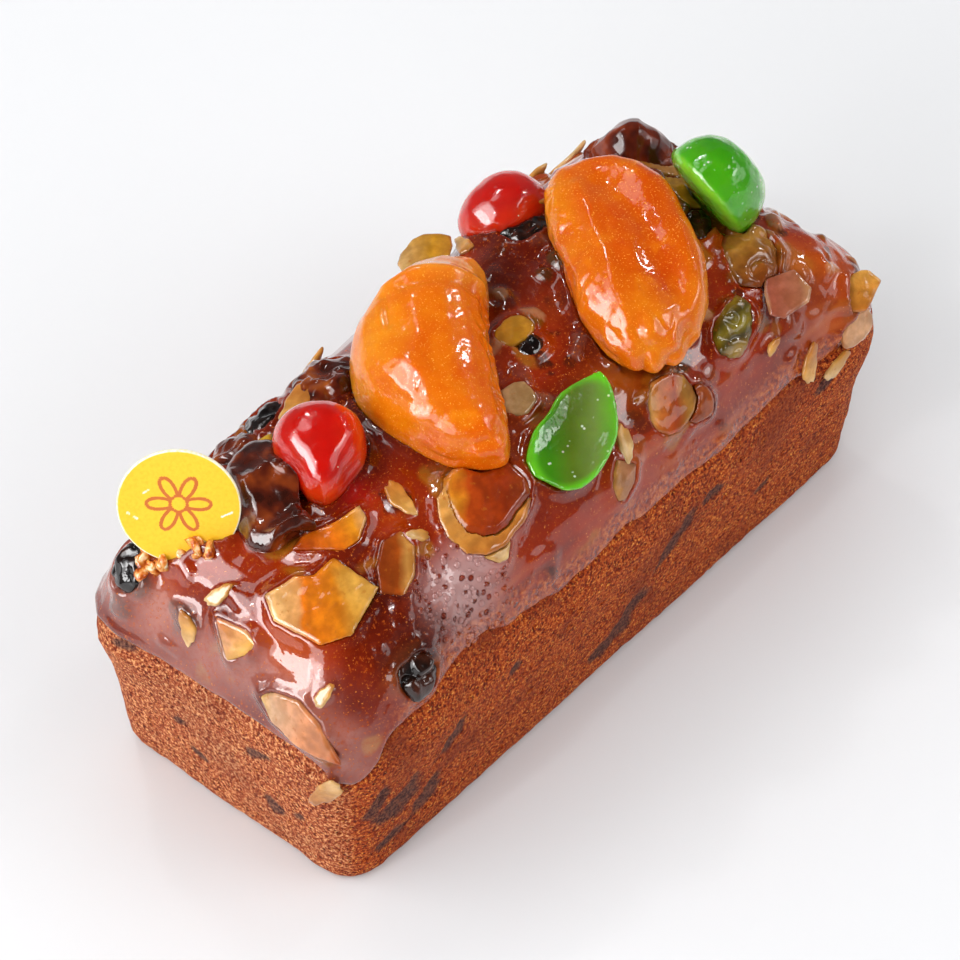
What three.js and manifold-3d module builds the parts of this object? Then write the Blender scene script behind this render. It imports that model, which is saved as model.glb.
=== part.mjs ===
// A fruit cake loaf: a baked loaf with a domed, lumpy crust, glacé fruit, dried fruit and
// flaked almonds lying on top, and a thin round tag standing at one end.
// Millimetres. +X along the loaf, +Z up, origin under the middle of the loaf on its flat base.
import * as THREE from 'three';
import { mergeVertices } from 'three/addons/utils/BufferGeometryUtils.js';
import Module from 'manifold-3d';

const wasm = await Module();
wasm.setup();

// ---------------------------------------------------------------- driving dimensions
const GAP = 0.36; // how far a solid is grown before it cuts its neighbour, for about 0.3 of clearance
const FINEST = 0.05; // detail below this is smoothed out of a cut solid

const BASE_LENGTH = 143;
const BASE_WIDTH = 60;
const FLARE = 3.6; // how far each wall leans out between the base and the shoulder
const WALL_HEIGHT = 33; // straight part of the walls
const SHOULDER_HEIGHT = 19.7;
const SHOULDER_DEPTH = 12.3; // how far the rounded shoulder reaches in over the top
const DOME_HEIGHT = 11.6; // rise of the crust from the shoulder to the middle
const CORNER_RADIUS = 10.5; // upright corners
const FOOT_RADIUS = 2; // rounding where the walls meet the base

const END_SKEW = 1.3; // the -X end is out of square by this much to each side
const BACK_DRAW_IN = 2.8; // how much the back wall closes in towards that end

const HALF_LENGTH = BASE_LENGTH / 2 + FLARE;
const HALF_WIDTH = BASE_WIDTH / 2 + FLARE;

const STEP_ALONG = 5.6; // mesh spacing along the walls
const CORNER_STEPS = 4;
const WALL_RINGS = [0, 0.6, FOOT_RADIUS, 12, 23, WALL_HEIGHT]; // heights of the mesh rings
const SHOULDER_STEPS = 5;
const TOP_INSETS = [17, 22, 27, 31]; // inner rings of the crust

// Lumps of the crust: x, y, radius, height.
const LUMPS = [
  [-53, -27, 6, 2.2], // over the raisin baked into the long shoulder
  [-73, 25, 9, 1.6], // corner behind the tag
  [25, 18, 11, 2.6], // between the two halves of apricot
  [11, 16, 8, 1.4],
  [57, 13, 9, 2.2],
  [61, -25, 8, 1.6],
  [74, -26, 9, 1.8], // near corner of the far end
  [-30, 20, 10, 1.2],
  [-20, -4, 9, -1.0], // hollow under the front apricot
  [40, 4, 9, -0.8],
  [-6, -28, 9, 0.7],
  [66, 22, 8, 1.0],
  [71, 8, 15, -2.2], // the far end sinks a little
];
const WAVE_HEIGHT = 0.45; // gentle unevenness of the whole crust

// ---------------------------------------------------------------- shared maths
const radians = THREE.MathUtils.degToRad;
const { clamp, smoothstep } = THREE.MathUtils;

// Smooth unevenness between -1 and 1, with bumps about `wave` long; `seed` picks the pattern.
function wrinkle(x, y, seed, wave) {
  let sum = 0;
  for (let i = 1; i <= 3; i += 1) {
    const heading = seed * 2.4 + i * 2.1;
    const along = x * Math.cos(heading) + y * Math.sin(heading);
    sum += Math.sin((2 * Math.PI * along) / (wave * (0.8 + 0.2 * i)) + seed * 1.7 * i);
  }
  return sum / 3;
}

function crustRelief(x, y) {
  const lumps = LUMPS.map(([lx, ly, radius, height]) => {
    const away = Math.hypot(x - lx, y - ly) / radius;
    return height * Math.exp(-away * away);
  });
  return lumps.reduce((sum, h) => sum + h, WAVE_HEIGHT * wrinkle(x, y, 3, 19));
}

// ---------------------------------------------------------------- booleans
function closedSkin(geometry) {
  const bare = geometry.clone();
  bare.deleteAttribute('normal');
  bare.deleteAttribute('uv');
  return mergeVertices(bare, 1e-4);
}

function toManifold(geometry) {
  const merged = closedSkin(geometry);
  return new wasm.Manifold(new wasm.Mesh({
    numProp: 3,
    vertProperties: new Float32Array(merged.attributes.position.array),
    triVerts: new Uint32Array(merged.index.array),
  }));
}

function toGeometry(manifold) {
  const { vertProperties, triVerts } = manifold.getMesh();
  const geometry = new THREE.BufferGeometry();
  geometry.setAttribute('position', new THREE.BufferAttribute(vertProperties, 3));
  geometry.setIndex(new THREE.BufferAttribute(triVerts, 1));
  geometry.computeVertexNormals();
  return geometry;
}

function largestPart(manifold) {
  const parts = manifold.decompose();
  return parts.reduce((best, part) => (part.volume() > best.volume() ? part : best));
}

// The same closed mesh with every vertex moved out along its normal.
function grown(geometry, by) {
  const smooth = closedSkin(geometry);
  smooth.computeVertexNormals();
  const { position, normal } = smooth.attributes;
  for (let i = 0; i < position.count; i += 1) {
    position.setXYZ(
      i,
      position.getX(i) + normal.getX(i) * by,
      position.getY(i) + normal.getY(i) * by,
      position.getZ(i) + normal.getZ(i) * by,
    );
  }
  return smooth;
}

// ---------------------------------------------------------------- the loaf
// Points round the plan of the loaf as { x, y, nx, ny }: a rounded rectangle and its outward normals.
function planOutline() {
  const points = [];
  const flatX = HALF_LENGTH - CORNER_RADIUS;
  const flatY = HALF_WIDTH - CORNER_RADIUS;
  const corners = [[flatX, -flatY, -90], [flatX, flatY, 0], [-flatX, flatY, 90], [-flatX, -flatY, 180]];
  corners.forEach(([cx, cy, start], side) => {
    for (let i = 0; i <= CORNER_STEPS; i += 1) {
      const angle = radians(start + (90 * i) / CORNER_STEPS);
      const nx = Math.cos(angle);
      const ny = Math.sin(angle);
      points.push({ x: cx + CORNER_RADIUS * nx, y: cy + CORNER_RADIUS * ny, nx, ny });
    }
    const [nextX, nextY] = corners[(side + 1) % 4];
    const wall = radians(start + 90);
    const length = Math.abs(nextX - cx) + Math.abs(nextY - cy);
    const steps = 2 * Math.round(length / STEP_ALONG / 2);
    const last = points[points.length - 1];
    for (let i = 1; i < steps; i += 1) {
      const t = i / steps;
      points.push({
        x: last.x + (nextX - cx) * t,
        y: last.y + (nextY - cy) * t,
        nx: Math.cos(wall),
        ny: Math.sin(wall),
      });
    }
  });
  return points;
}

// The loaf slumped a little in its tin, so the -X end is neither quite square nor quite as wide.
function outOfTrue(x, y, z) {
  const end = smoothstep(-x, 0, HALF_LENGTH);
  const side = y / HALF_WIDTH;
  return [x - END_SKEW * side * end, y - BACK_DRAW_IN * Math.max(side, 0) * end, z];
}

// One point of the crust, `inset` in from the outline; the shoulder is a quarter of an ellipse.
function crustPoint(p, inset, grow) {
  const x = p.x * (1 - inset / HALF_LENGTH);
  const y = p.y * (1 - inset / HALF_WIDTH);
  const turn = Math.acos(clamp(1 - inset / SHOULDER_DEPTH, 0, 1));
  const dome = (1 - (y / HALF_WIDTH) ** 2) * (1 - (x / HALF_LENGTH) ** 4);
  const z = WALL_HEIGHT + SHOULDER_HEIGHT * Math.sin(turn) + DOME_HEIGHT * dome;
  const lift = crustRelief(x, y) + grow;
  return [x + p.nx * lift * Math.cos(turn), y + p.ny * lift * Math.cos(turn), z + lift * Math.sin(turn)];
}

function wallPoint(p, z, grow) {
  const lean = FLARE * (1 - z / WALL_HEIGHT);
  const curl = z < FOOT_RADIUS ? FOOT_RADIUS - Math.sqrt(FOOT_RADIUS ** 2 - (FOOT_RADIUS - z) ** 2) : 0;
  const lift = crustRelief(p.x, p.y) * smoothstep(z, WALL_HEIGHT * 0.7, WALL_HEIGHT) + grow;
  const out = lift - lean - curl;
  return [p.x + p.nx * out, p.y + p.ny * out, z];
}

function loafGeometry(grow = 0) {
  const outline = planOutline();
  const rings = [];
  for (const z of WALL_RINGS) {
    rings.push(outline.map((p) => wallPoint(p, z, grow)));
  }
  for (let i = 1; i <= SHOULDER_STEPS; i += 1) {
    const inset = SHOULDER_DEPTH * (1 - Math.cos(radians((90 * i) / SHOULDER_STEPS)));
    rings.push(outline.map((p) => crustPoint(p, inset, grow)));
  }
  for (const inset of TOP_INSETS) rings.push(outline.map((p) => crustPoint(p, inset, grow)));

  const count = outline.length;
  const positions = rings.flat().flatMap(([x, y, z]) => outOfTrue(x, y, z));
  const index = [];
  for (let r = 0; r + 1 < rings.length; r += 1) {
    for (let i = 0; i < count; i += 1) {
      const a = r * count + i;
      const b = r * count + ((i + 1) % count);
      index.push(a, b, b + count, a, b + count, a + count);
    }
  }
  // The base is a fan. The last ring is a narrow strip along the ridge, closed by joining its two sides.
  const centre = positions.length / 3;
  positions.push(0, 0, 0);
  for (let i = 0; i < count; i += 1) index.push(centre, (i + 1) % count, i);
  const endMiddle = outline.findIndex((p) => p.nx === 1 && Math.abs(p.y) < 1e-6);
  const onRidge = (k) => (rings.length - 1) * count + ((endMiddle + k + count) % count);
  for (let k = 0; k < count / 2; k += 1) {
    if (k > 0) index.push(onRidge(-k), onRidge(k), onRidge(k + 1));
    if (k + 1 < count / 2) index.push(onRidge(-k), onRidge(k + 1), onRidge(-k - 1));
  }
  const geometry = new THREE.BufferGeometry();
  geometry.setAttribute('position', new THREE.Float32BufferAttribute(positions, 3));
  geometry.setIndex(index);
  return geometry;
}

// ---------------------------------------------------------------- fruit, nuts and flakes
const turnOf = ([x, y]) => Math.atan2(y, x);
const reachOf = ([x, y]) => Math.hypot(x, y);
const crossed = ([ax, ay], [bx, by]) => ax * by - ay * bx;

// The corner before `angle` on an outline listed counter-clockwise, and the share of the way from it
// to the next corner.
function placeOnOutline(corners, angle) {
  const gap = (from, to) => (((to - from) % (2 * Math.PI)) + 2 * Math.PI) % (2 * Math.PI);
  for (let i = 0; i < corners.length; i += 1) {
    const step = gap(turnOf(corners[i]), turnOf(corners[(i + 1) % corners.length]));
    const part = gap(turnOf(corners[i]), angle);
    if (part <= step) return { i, share: part / step };
  }
  return { i: 0, share: 0 };
}

// Distance from the middle to a broken edge, straight from corner to corner.
function brokenRadius(corners, angle) {
  const { i } = placeOnOutline(corners, angle);
  const from = corners[i];
  const to = corners[(i + 1) % corners.length];
  const line = [to[0] - from[0], to[1] - from[1]];
  return crossed(from, to) / crossed([Math.cos(angle), Math.sin(angle)], line);
}

// Distance from the middle to a grown edge: a smooth curve through the same kind of corners.
function grownRadius(corners, angle) {
  const { i, share } = placeOnOutline(corners, angle);
  const reachAt = (k) => reachOf(corners[(i + k + corners.length) % corners.length]);
  const [before, from, to, after] = [-1, 0, 1, 2].map(reachAt);
  const bend = 2 * before - 5 * from + 4 * to - after;
  const twist = 3 * from - before - 3 * to + after;
  return from + (share / 2) * (to - before + share * (bend + share * twist));
}

// The angle of the i-th point of a rim. A broken slice has one at each corner and one between.
function rimAngle({ broken, around }, i) {
  if (!broken) return (i / around) * 2 * Math.PI;
  const from = turnOf(broken[Math.floor(i / 2)]);
  const to = turnOf(broken[(Math.floor(i / 2) + 1) % broken.length]);
  const half = i % 2 ? 0.5 : 0;
  return from + half * ((to - from + 2 * Math.PI) % (2 * Math.PI));
}

// Distance from the middle to the rim at `angle`: `square` runs from 2 (an ellipse) to 5 (nearly a
// rectangle) and `ragged` makes the rim uneven. A `broken` or `grown` outline gives its own corners,
// in mm.
function rimRadius(shape, angle) {
  if (shape.broken) return brokenRadius(shape.broken, angle);
  if (shape.grown) return grownRadius(shape.grown, angle);
  const { length, width, square, ragged, seed } = shape;
  const across = (Math.abs(Math.cos(angle)) / (length / 2)) ** square;
  const along = (Math.abs(Math.sin(angle)) / (width / 2)) ** square;
  const even = (across + along) ** (-1 / square);
  const waves = [[2, 1], [3, 2.3], [5, 4.1]];
  const uneven = waves.reduce((sum, [count, shift]) => sum + Math.sin(count * angle + shift * seed), 0);
  return even * (1 + (ragged * uneven) / 2);
}

// A cushion-shaped solid on the XY plane. `crown` and `belly` are its heights over and under the
// rim; `edge` squares its shoulders, from 2 (a dome) to 8 (a flat slice); `dish` hollows the top,
// `fold` wrinkles it, `bend` curves both ends to +Y and `bow` lifts them.
function cushion(shape) {
  const { length, crown, belly, edge, dish, fold, wave, bend, bow, seed, rings } = shape;
  const around = shape.broken ? 2 * shape.broken.length : shape.around;
  const point = (k, i, side) => {
    const phi = (k / rings) * (Math.PI / 2);
    const rho = Math.sin(phi) ** (2 / edge);
    const angle = rimAngle(shape, i);
    const x = rimRadius(shape, angle) * rho * Math.cos(angle);
    const end = (x / (length / 2)) ** 2;
    const y = rimRadius(shape, angle) * rho * Math.sin(angle) + bend * end;
    const top = crown * Math.cos(phi) * (1 + fold * wrinkle(x, y, seed, wave)) - dish * (1 - rho * rho);
    return [x, y, (side > 0 ? top : -belly * Math.cos(phi)) + bow * end];
  };
  const circles = [];
  for (let k = 1; k <= rings; k += 1) circles.push([k, 1]);
  for (let k = rings - 1; k > 0; k -= 1) circles.push([k, -1]);
  const positions = [...point(0, 0, 1), ...point(0, 0, -1)];
  for (const [k, side] of circles) {
    for (let i = 0; i < around; i += 1) positions.push(...point(k, i, side));
  }
  const index = [];
  const at = (circle, i) => 2 + circle * around + (i % around);
  const lowest = circles.length - 1;
  for (let i = 0; i < around; i += 1) {
    index.push(0, at(0, i), at(0, i + 1));
    for (let c = 0; c < lowest; c += 1) {
      index.push(at(c, i), at(c + 1, i), at(c + 1, i + 1), at(c, i), at(c + 1, i + 1), at(c, i + 1));
    }
    index.push(1, at(lowest, i + 1), at(lowest, i));
  }
  const geometry = new THREE.BufferGeometry();
  geometry.setAttribute('position', new THREE.Float32BufferAttribute(positions, 3));
  geometry.setIndex(index);
  return geometry;
}

const PLAIN = {
  square: 2.2, ragged: 0.03, edge: 2.2, dish: 0, fold: 0, wave: 8, bend: 0, bow: 0, seed: 1, lift: 0,
};
const KINDS = {
  apricot: { fold: 0.1, wave: 15, ragged: 0.03, edge: 2.6, around: 28, rings: 5 },
  cherry: { ragged: 0.02, crown: 10, belly: 3, around: 20, rings: 4 },
  prune: { fold: 0.4, wave: 7, ragged: 0.12, crown: 3, belly: 3, around: 22, rings: 4 },
  raisin: { fold: 0.3, wave: 4.5, ragged: 0.06, crown: 2.2, belly: 3, around: 12, rings: 3 },
  peel: { fold: 0.25, wave: 6, ragged: 0.08, edge: 4, crown: 1.5, belly: 1.2, lift: 0.6, around: 14, rings: 2 },
  slice: { ragged: 0.06, square: 2.8, edge: 7, crown: 0.7, belly: 1.5, lift: 1.1, around: 14, rings: 2 },
  sliver: { ragged: 0.1, square: 2.4, edge: 4, crown: 0.7, belly: 0.9, lift: 0.2, around: 7, rings: 2 },
};

const FINISHES = {
  crust: { color: '#8a4016', roughness: 0.75 },
  apricot: { color: '#e8840f', roughness: 0.25 },
  red_cherry: { color: '#d4180c', roughness: 0.15 },
  green_cherry: { color: '#4cab10', roughness: 0.15 },
  prune: { color: '#3c150b', roughness: 0.25 },
  raisin: { color: '#2a120d', roughness: 0.35 },
  almond: { color: '#dd9c48', roughness: 0.35 },
  peel: { color: '#c8801c', roughness: 0.3 },
  green_peel: { color: '#8f8a1e', roughness: 0.3 },
  card: { color: '#f6df2c', roughness: 0.5 },
};

// Whole and halved fruit, and flakes that stand off the crust: `at` is the middle of the rim,
// `heading` the way its length points in plan, `raise` the tilt that lifts that end and `roll` the
// tilt that lifts its left side.
const FRUIT = [
  { name: 'apricot_front', kind: 'apricot', finish: 'apricot', at: [-12.5, 5.5, 66], heading: 49, raise: 8, roll: -1,
    length: 44, width: 26, bend: -8, crown: 13, belly: 2.5 },
  { name: 'apricot_back', kind: 'apricot', finish: 'apricot', at: [32, -5.5, 66], heading: 58, raise: 6, roll: -4,
    length: 47, width: 24.5, square: 2.7, edge: 3.4, crown: 11, belly: 2.5, dish: 2.5, bend: 3, seed: 4 },
  { name: 'cherry_red_front', kind: 'cherry', finish: 'red_cherry', at: [-38, 6, 65], heading: 48, raise: 10, roll: -3,
    length: 21.5, width: 16.5, edge: 3, crown: 9,
    grown: [[9, 0], [6.5, 6.8], [0, 8.4], [-6, 4.8], [-11.5, 0.8], [-6.5, -4.8], [0, -8.3], [6.5, -6.5]] },
  { name: 'cherry_red_back', kind: 'cherry', finish: 'red_cherry', at: [29.5, 23, 60], heading: 0, raise: 6, roll: 0,
    length: 18, width: 16, crown: 8.5, belly: 4, seed: 3 },
  { name: 'cherry_green_front', kind: 'cherry', finish: 'green_cherry', at: [-2.5, -22, 63.6], heading: 18, raise: 15,
    roll: 15, length: 25, width: 14.5, crown: 1.2, belly: 6.5, dish: 3, around: 24,
    grown: [[12, 0.5], [8, 2.7], [0.5, 5.3], [-6, 6.3], [-11.3, 4.6], [-11.8, 0], [-11.5, -4.2], [-4, -7.7],
      [1.5, -7.8], [7, -5.2]] },
  { name: 'cherry_green_back', kind: 'cherry', finish: 'green_cherry', at: [55, -4.3, 66.1], heading: -14,
    raise: -65, roll: 0, length: 21.5, width: 19, edge: 3, crown: 9.8, belly: 2.2 },
  { name: 'prune', kind: 'prune', finish: 'prune', at: [-50, 7, 64], heading: 58, raise: 0, roll: -12,
    length: 20, width: 14, seed: 2 },
  { name: 'fig', kind: 'prune', finish: 'prune', at: [57.2, 16.2, 60], heading: 128, raise: 0, roll: -8,
    length: 20, width: 11, edge: 1.4, crown: 7.5, belly: 3, fold: 0.15, seed: 5 },
  { name: 'almond_square_right', kind: 'slice', finish: 'almond', at: [51.5, -26.5, 57.5], heading: 0, raise: 6,
    roll: 17, length: 10.5, width: 9.5,
    broken: [[4, 2], [-1.5, 4.5], [-4, 2.5], [-6.5, -1], [-5, -3.5], [1, -4.5], [3.5, -3]] },
  { name: 'almond_tip', kind: 'slice', finish: 'almond', at: [67.5, -31, 49.5], heading: 20, raise: 32, roll: 25,
    length: 10.5, width: 9.5,
    broken: [[3, -1], [2.5, 0.5], [-0.5, 3.5], [-3.5, 3.5], [-6, 0], [-4.5, -3], [-1.5, -3.5], [2, -4]] },
  { name: 'almond_rim', kind: 'slice', finish: 'almond', at: [11, 26, 61.5], heading: 20, raise: 0, roll: -10,
    length: 12, width: 9, seed: 4 },
];

// Dried fruit, candied peel and nuts lying on the crust. Each is moved from `at` to the nearest
// point of the crust and laid flat there, turned by `heading` from the +X way.
const SCATTERED = [
  { name: 'raisin_rim', kind: 'raisin', finish: 'raisin', at: [-35.5, 23, 60], length: 9, width: 8, seed: 1 },
  { name: 'raisin_left', kind: 'raisin', finish: 'prune', at: [-44, 22, 59], length: 10, width: 9, seed: 4 },
  { name: 'peel_strip', kind: 'peel', finish: 'peel', at: [-44, 17, 61], length: 12, width: 4.5, seed: 2 },
  { name: 'raisin_cluster', kind: 'prune', finish: 'prune', at: [-23, 19, 62], length: 15, width: 13, wave: 5, seed: 7 },
  { name: 'almond_square', kind: 'slice', finish: 'almond', at: [-59, -12.5, 60], length: 17, width: 16,
    broken: [[8.5, -7], [7.5, 3], [3, 3.5], [0.5, 6], [-5.5, 7.5], [-8, 3], [-6, -6.5], [-1, -9.5]] },
  { name: 'almond_end', kind: 'slice', finish: 'almond', at: [-74, -21, 45], heading: 97, length: 19.5, width: 8.5,
    broken: [[9.5, 0.5], [5, 3], [-0.5, 3.5], [-6, 3], [-10, 1.5], [-7, -0.5], [-3.5, -3.5], [2, -5], [7, -2.5]],
    bow: -1 },
  { name: 'almond_corner', kind: 'slice', finish: 'almond', at: [-71, -4.5, 51], heading: -20, length: 9, width: 7.5,
    broken: [[0, 6.5], [-1.5, 3.5], [-3.5, -1], [1, -2.5], [4.5, -2.5], [4, 1]] },
  { name: 'peel_front', kind: 'peel', finish: 'peel', at: [-23, -19, 61], length: 16, width: 14, square: 2.8,
    around: 18 },
  { name: 'peel_under', kind: 'slice', finish: 'peel', at: [-25.5, -20.5, 60], length: 18, width: 15.5,
    lift: 0.7, square: 2.4 },
  { name: 'almond_light', kind: 'slice', finish: 'almond', at: [-28, -26, 57], length: 9.5, width: 8.5,
    broken: [[4, 1], [-3, 6], [-3.5, 3.5], [-3.5, -0.5], [-1.5, -3], [0.5, -3.5], [2.5, -1.5]] },
  { name: 'almond_oval', kind: 'slice', finish: 'almond', at: [18, -27, 56], length: 11.5, width: 11, square: 2.2 },
  { name: 'almond_pair', kind: 'slice', finish: 'peel', at: [23, -29, 53.3], length: 7, width: 7, seed: 2 },
  { name: 'almond_middle', kind: 'slice', finish: 'almond', at: [6, 0, 65], length: 8, width: 6, seed: 2 },
  { name: 'raisin_middle', kind: 'raisin', finish: 'raisin', at: [5.5, -4.5, 65], length: 6, width: 4.5, crown: 1.5,
    belly: 1.5, seed: 3 },
  { name: 'almond_ridge', kind: 'slice', finish: 'almond', at: [-5, -10.5, 64], length: 7.5, width: 6.5, seed: 6 },
  { name: 'almond_far', kind: 'slice', finish: 'almond', at: [57.5, 8.5, 61], heading: -45, length: 11, width: 5.5,
    seed: 7 },
  { name: 'almond_by_cherry', kind: 'slice', finish: 'almond', at: [56.5, 2.5, 62], heading: 72, length: 12, width: 6.5,
    seed: 8 },
  { name: 'peel_green', kind: 'peel', finish: 'green_peel', at: [38, -25, 58], heading: 15, length: 13, width: 8,
    seed: 6 },
  { name: 'peel_chunk', kind: 'peel', finish: 'peel', at: [52, -17, 60], heading: 50, length: 15, width: 11.5,
    crown: 1.8, seed: 8 },
  { name: 'raisin_side', kind: 'raisin', finish: 'raisin', at: [-54, -31, 50], length: 9, width: 8, seed: 5 },
  { name: 'raisin_corner', kind: 'raisin', finish: 'raisin', at: [-70.5, 21, 51], length: 9.5, width: 8, seed: 9 },
  { name: 'raisin_top', kind: 'raisin', finish: 'raisin', at: [27, 16, 65], length: 10, width: 8.5, crown: 1.5,
    seed: 8 },
  { name: 'raisin_right', kind: 'raisin', finish: 'raisin', at: [50, -6, 62], heading: 30, length: 10, width: 6,
    crown: 1.8, seed: 6 },
  { name: 'almond_amber', kind: 'slice', finish: 'peel', at: [-49, -7.5, 63], heading: 40, length: 10, width: 13,
    broken: [[6.5, -4], [2.5, 1], [0.5, 5.5], [-2.5, 7.5], [-2.5, 2.5], [-2.5, -2], [-0.5, -4.5], [4, -5.5]] },
  { name: 'almond_clear', kind: 'slice', finish: 'peel', at: [-45, -18, 61], heading: 45, length: 13, width: 7,
    broken: [[6.5, -1], [4, 2.5], [-1, 3.5], [-6, 3], [-6.5, -1.5], [-2, -3.5], [3.5, -3.5]] },
  { name: 'almond_side', kind: 'slice', finish: 'almond', at: [2, -30, 52], length: 7, width: 8,
    broken: [[3.5, 0.5], [0, 4], [-3.5, 0.5], [-3.5, -3], [-2, -4], [2, -2]] },
  { name: 'almond_end_right', kind: 'slice', finish: 'almond', at: [64, -33, 43], length: 9, width: 6.5, seed: 2 },
  { name: 'almond_back_left', kind: 'slice', finish: 'almond', at: [-56, 28, 55], heading: 25, length: 16, width: 11 },
  { name: 'almond_back_right', kind: 'slice', finish: 'almond', at: [42, 32, 47], heading: -30, length: 13, width: 9,
    seed: 6 },
  { name: 'raisin_back', kind: 'raisin', finish: 'raisin', at: [8, 31, 54], heading: 20, length: 10, width: 8,
    seed: 10 },
];

// Slivers of almond baked into the crust, laid on it in the same way.
const SLIVERS = [
  { at: [-71.5, 6, 49], heading: 60, length: 7 },
  { at: [-67.5, 2.5, 56], heading: -30, length: 6 },
  { at: [-69.5, -23.5, 52], heading: 0, length: 5 },
  { at: [-75, -28.5, 32.5], heading: -108, length: 9.5 },
  { at: [-36, -10.5, 63], heading: 78, length: 8 },
  { at: [-38.5, -17, 61.5], heading: -30, length: 5 },
  { at: [5.5, -27, 56], heading: 70, length: 7 },
  { at: [58, -34, 38], heading: 30, length: 7 },
  { at: [51.5, -33, 43], heading: 60, length: 8 },
  { at: [44, -30, 52], heading: 20, length: 4 },
];
const SLIVER_SLIMNESS = 0.45; // width as a share of length
const HIDDEN_SLIVERS = 10;
const HIDDEN_SPAN = 132; // how much of the loaf's length they cover
const HIDDEN_REACH = 20; // how far they spread from the ridge, across and down
const SHORTEST_SLIVER = 5;
const GOLDEN = 0.618034; // steps that spread the places evenly but irregularly
const PLASTIC = 0.754878;
const PLASTIC_SQUARE = 0.56984;
const GOLDEN_ANGLE = 137.5;

// Slivers on the far side of the crust.
function farSlivers() {
  return Array.from({ length: HIDDEN_SLIVERS }, (_, i) => {
    const along = (0.31 + GOLDEN * i) % 1;
    const down = (0.17 + PLASTIC * i) % 1;
    const longer = (0.4 + PLASTIC_SQUARE * i) % 1;
    const at = [HIDDEN_SPAN * (along - 0.5), 14 + HIDDEN_REACH * down, 66 - HIDDEN_REACH * down * down];
    return { at, heading: GOLDEN_ANGLE * i, length: SHORTEST_SLIVER * (1 + longer) };
  });
}

// ---------------------------------------------------------------- laying pieces on the crust
// The nearest point of the loaf to `at`, with the smoothed outward normal there.
function nearestOnLoaf(loaf, at) {
  const { position, normal } = loaf.attributes;
  const wanted = new THREE.Vector3(...at);
  const corners = [0, 1, 2].map(() => new THREE.Vector3());
  const normals = [0, 1, 2].map(() => new THREE.Vector3());
  const best = { distance: Infinity };
  for (let i = 0; i < loaf.index.count; i += 3) {
    corners.forEach((corner, k) => corner.fromBufferAttribute(position, loaf.index.getX(i + k)));
    const triangle = new THREE.Triangle(...corners);
    const point = triangle.closestPointToPoint(wanted, new THREE.Vector3());
    const distance = point.distanceTo(wanted);
    if (distance < best.distance) {
      normals.forEach((n, k) => n.fromBufferAttribute(normal, loaf.index.getX(i + k)));
      const up = THREE.Triangle.getInterpolation(point, ...corners, ...normals, new THREE.Vector3());
      Object.assign(best, { distance, point, up: up.normalize() });
    }
  }
  return best;
}

// Where a piece stands: its own turns on a base frame whose Z is `up` and whose X is the +X way.
function pieceMatrix({ heading = 0, raise = 0, roll = 0, lift = 0 }, point, up) {
  const x = new THREE.Vector3(1, 0, 0).projectOnPlane(up).normalize();
  const matrix = new THREE.Matrix4().makeBasis(x, new THREE.Vector3().crossVectors(up, x), up);
  matrix.multiply(new THREE.Matrix4().makeRotationZ(radians(heading)));
  matrix.multiply(new THREE.Matrix4().makeRotationY(radians(-raise)));
  matrix.multiply(new THREE.Matrix4().makeRotationX(radians(roll)));
  return matrix.setPosition(point.clone().addScaledVector(up, lift));
}

function fruitPiece(row) {
  const piece = { ...PLAIN, ...KINDS[row.kind], ...row };
  const matrix = pieceMatrix(piece, new THREE.Vector3(...row.at), new THREE.Vector3(0, 0, 1));
  return { ...piece, matrix, shape: cushion(piece) };
}

function layingPiece(loaf, row) {
  const piece = { ...PLAIN, ...KINDS[row.kind], ...row };
  const { point, up } = nearestOnLoaf(loaf, row.at);
  return { ...piece, matrix: pieceMatrix(piece, point, up), shape: cushion(piece) };
}

// ---------------------------------------------------------------- the tag
const TAG_RADIUS = 10.8;
const TAG_THICKNESS = 0.9;
const TAG_MIDDLE = [-63.3, 16, 65.6];
const TAG_HEADING = 222; // the way its face looks in plan
const TAG_LEAN = 24; // how far it leans back from upright
const TAG_SIDES = 48;

function tagPiece() {
  const shape = new THREE.CylinderGeometry(TAG_RADIUS, TAG_RADIUS, TAG_THICKNESS, TAG_SIDES);
  shape.rotateX(Math.PI / 2);
  const stance = { heading: TAG_HEADING, raise: TAG_LEAN - 90 };
  const matrix = pieceMatrix(stance, new THREE.Vector3(...TAG_MIDDLE), new THREE.Vector3(0, 0, 1));
  return { name: 'tag', finish: 'card', matrix, shape };
}

// ---------------------------------------------------------------- the whole cake
function meshOf(name, finish, geometry) {
  const material = new THREE.MeshStandardMaterial({ ...FINISHES[finish], metalness: 0 });
  const mesh = new THREE.Mesh(geometry, material);
  mesh.name = name;
  return mesh;
}

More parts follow.
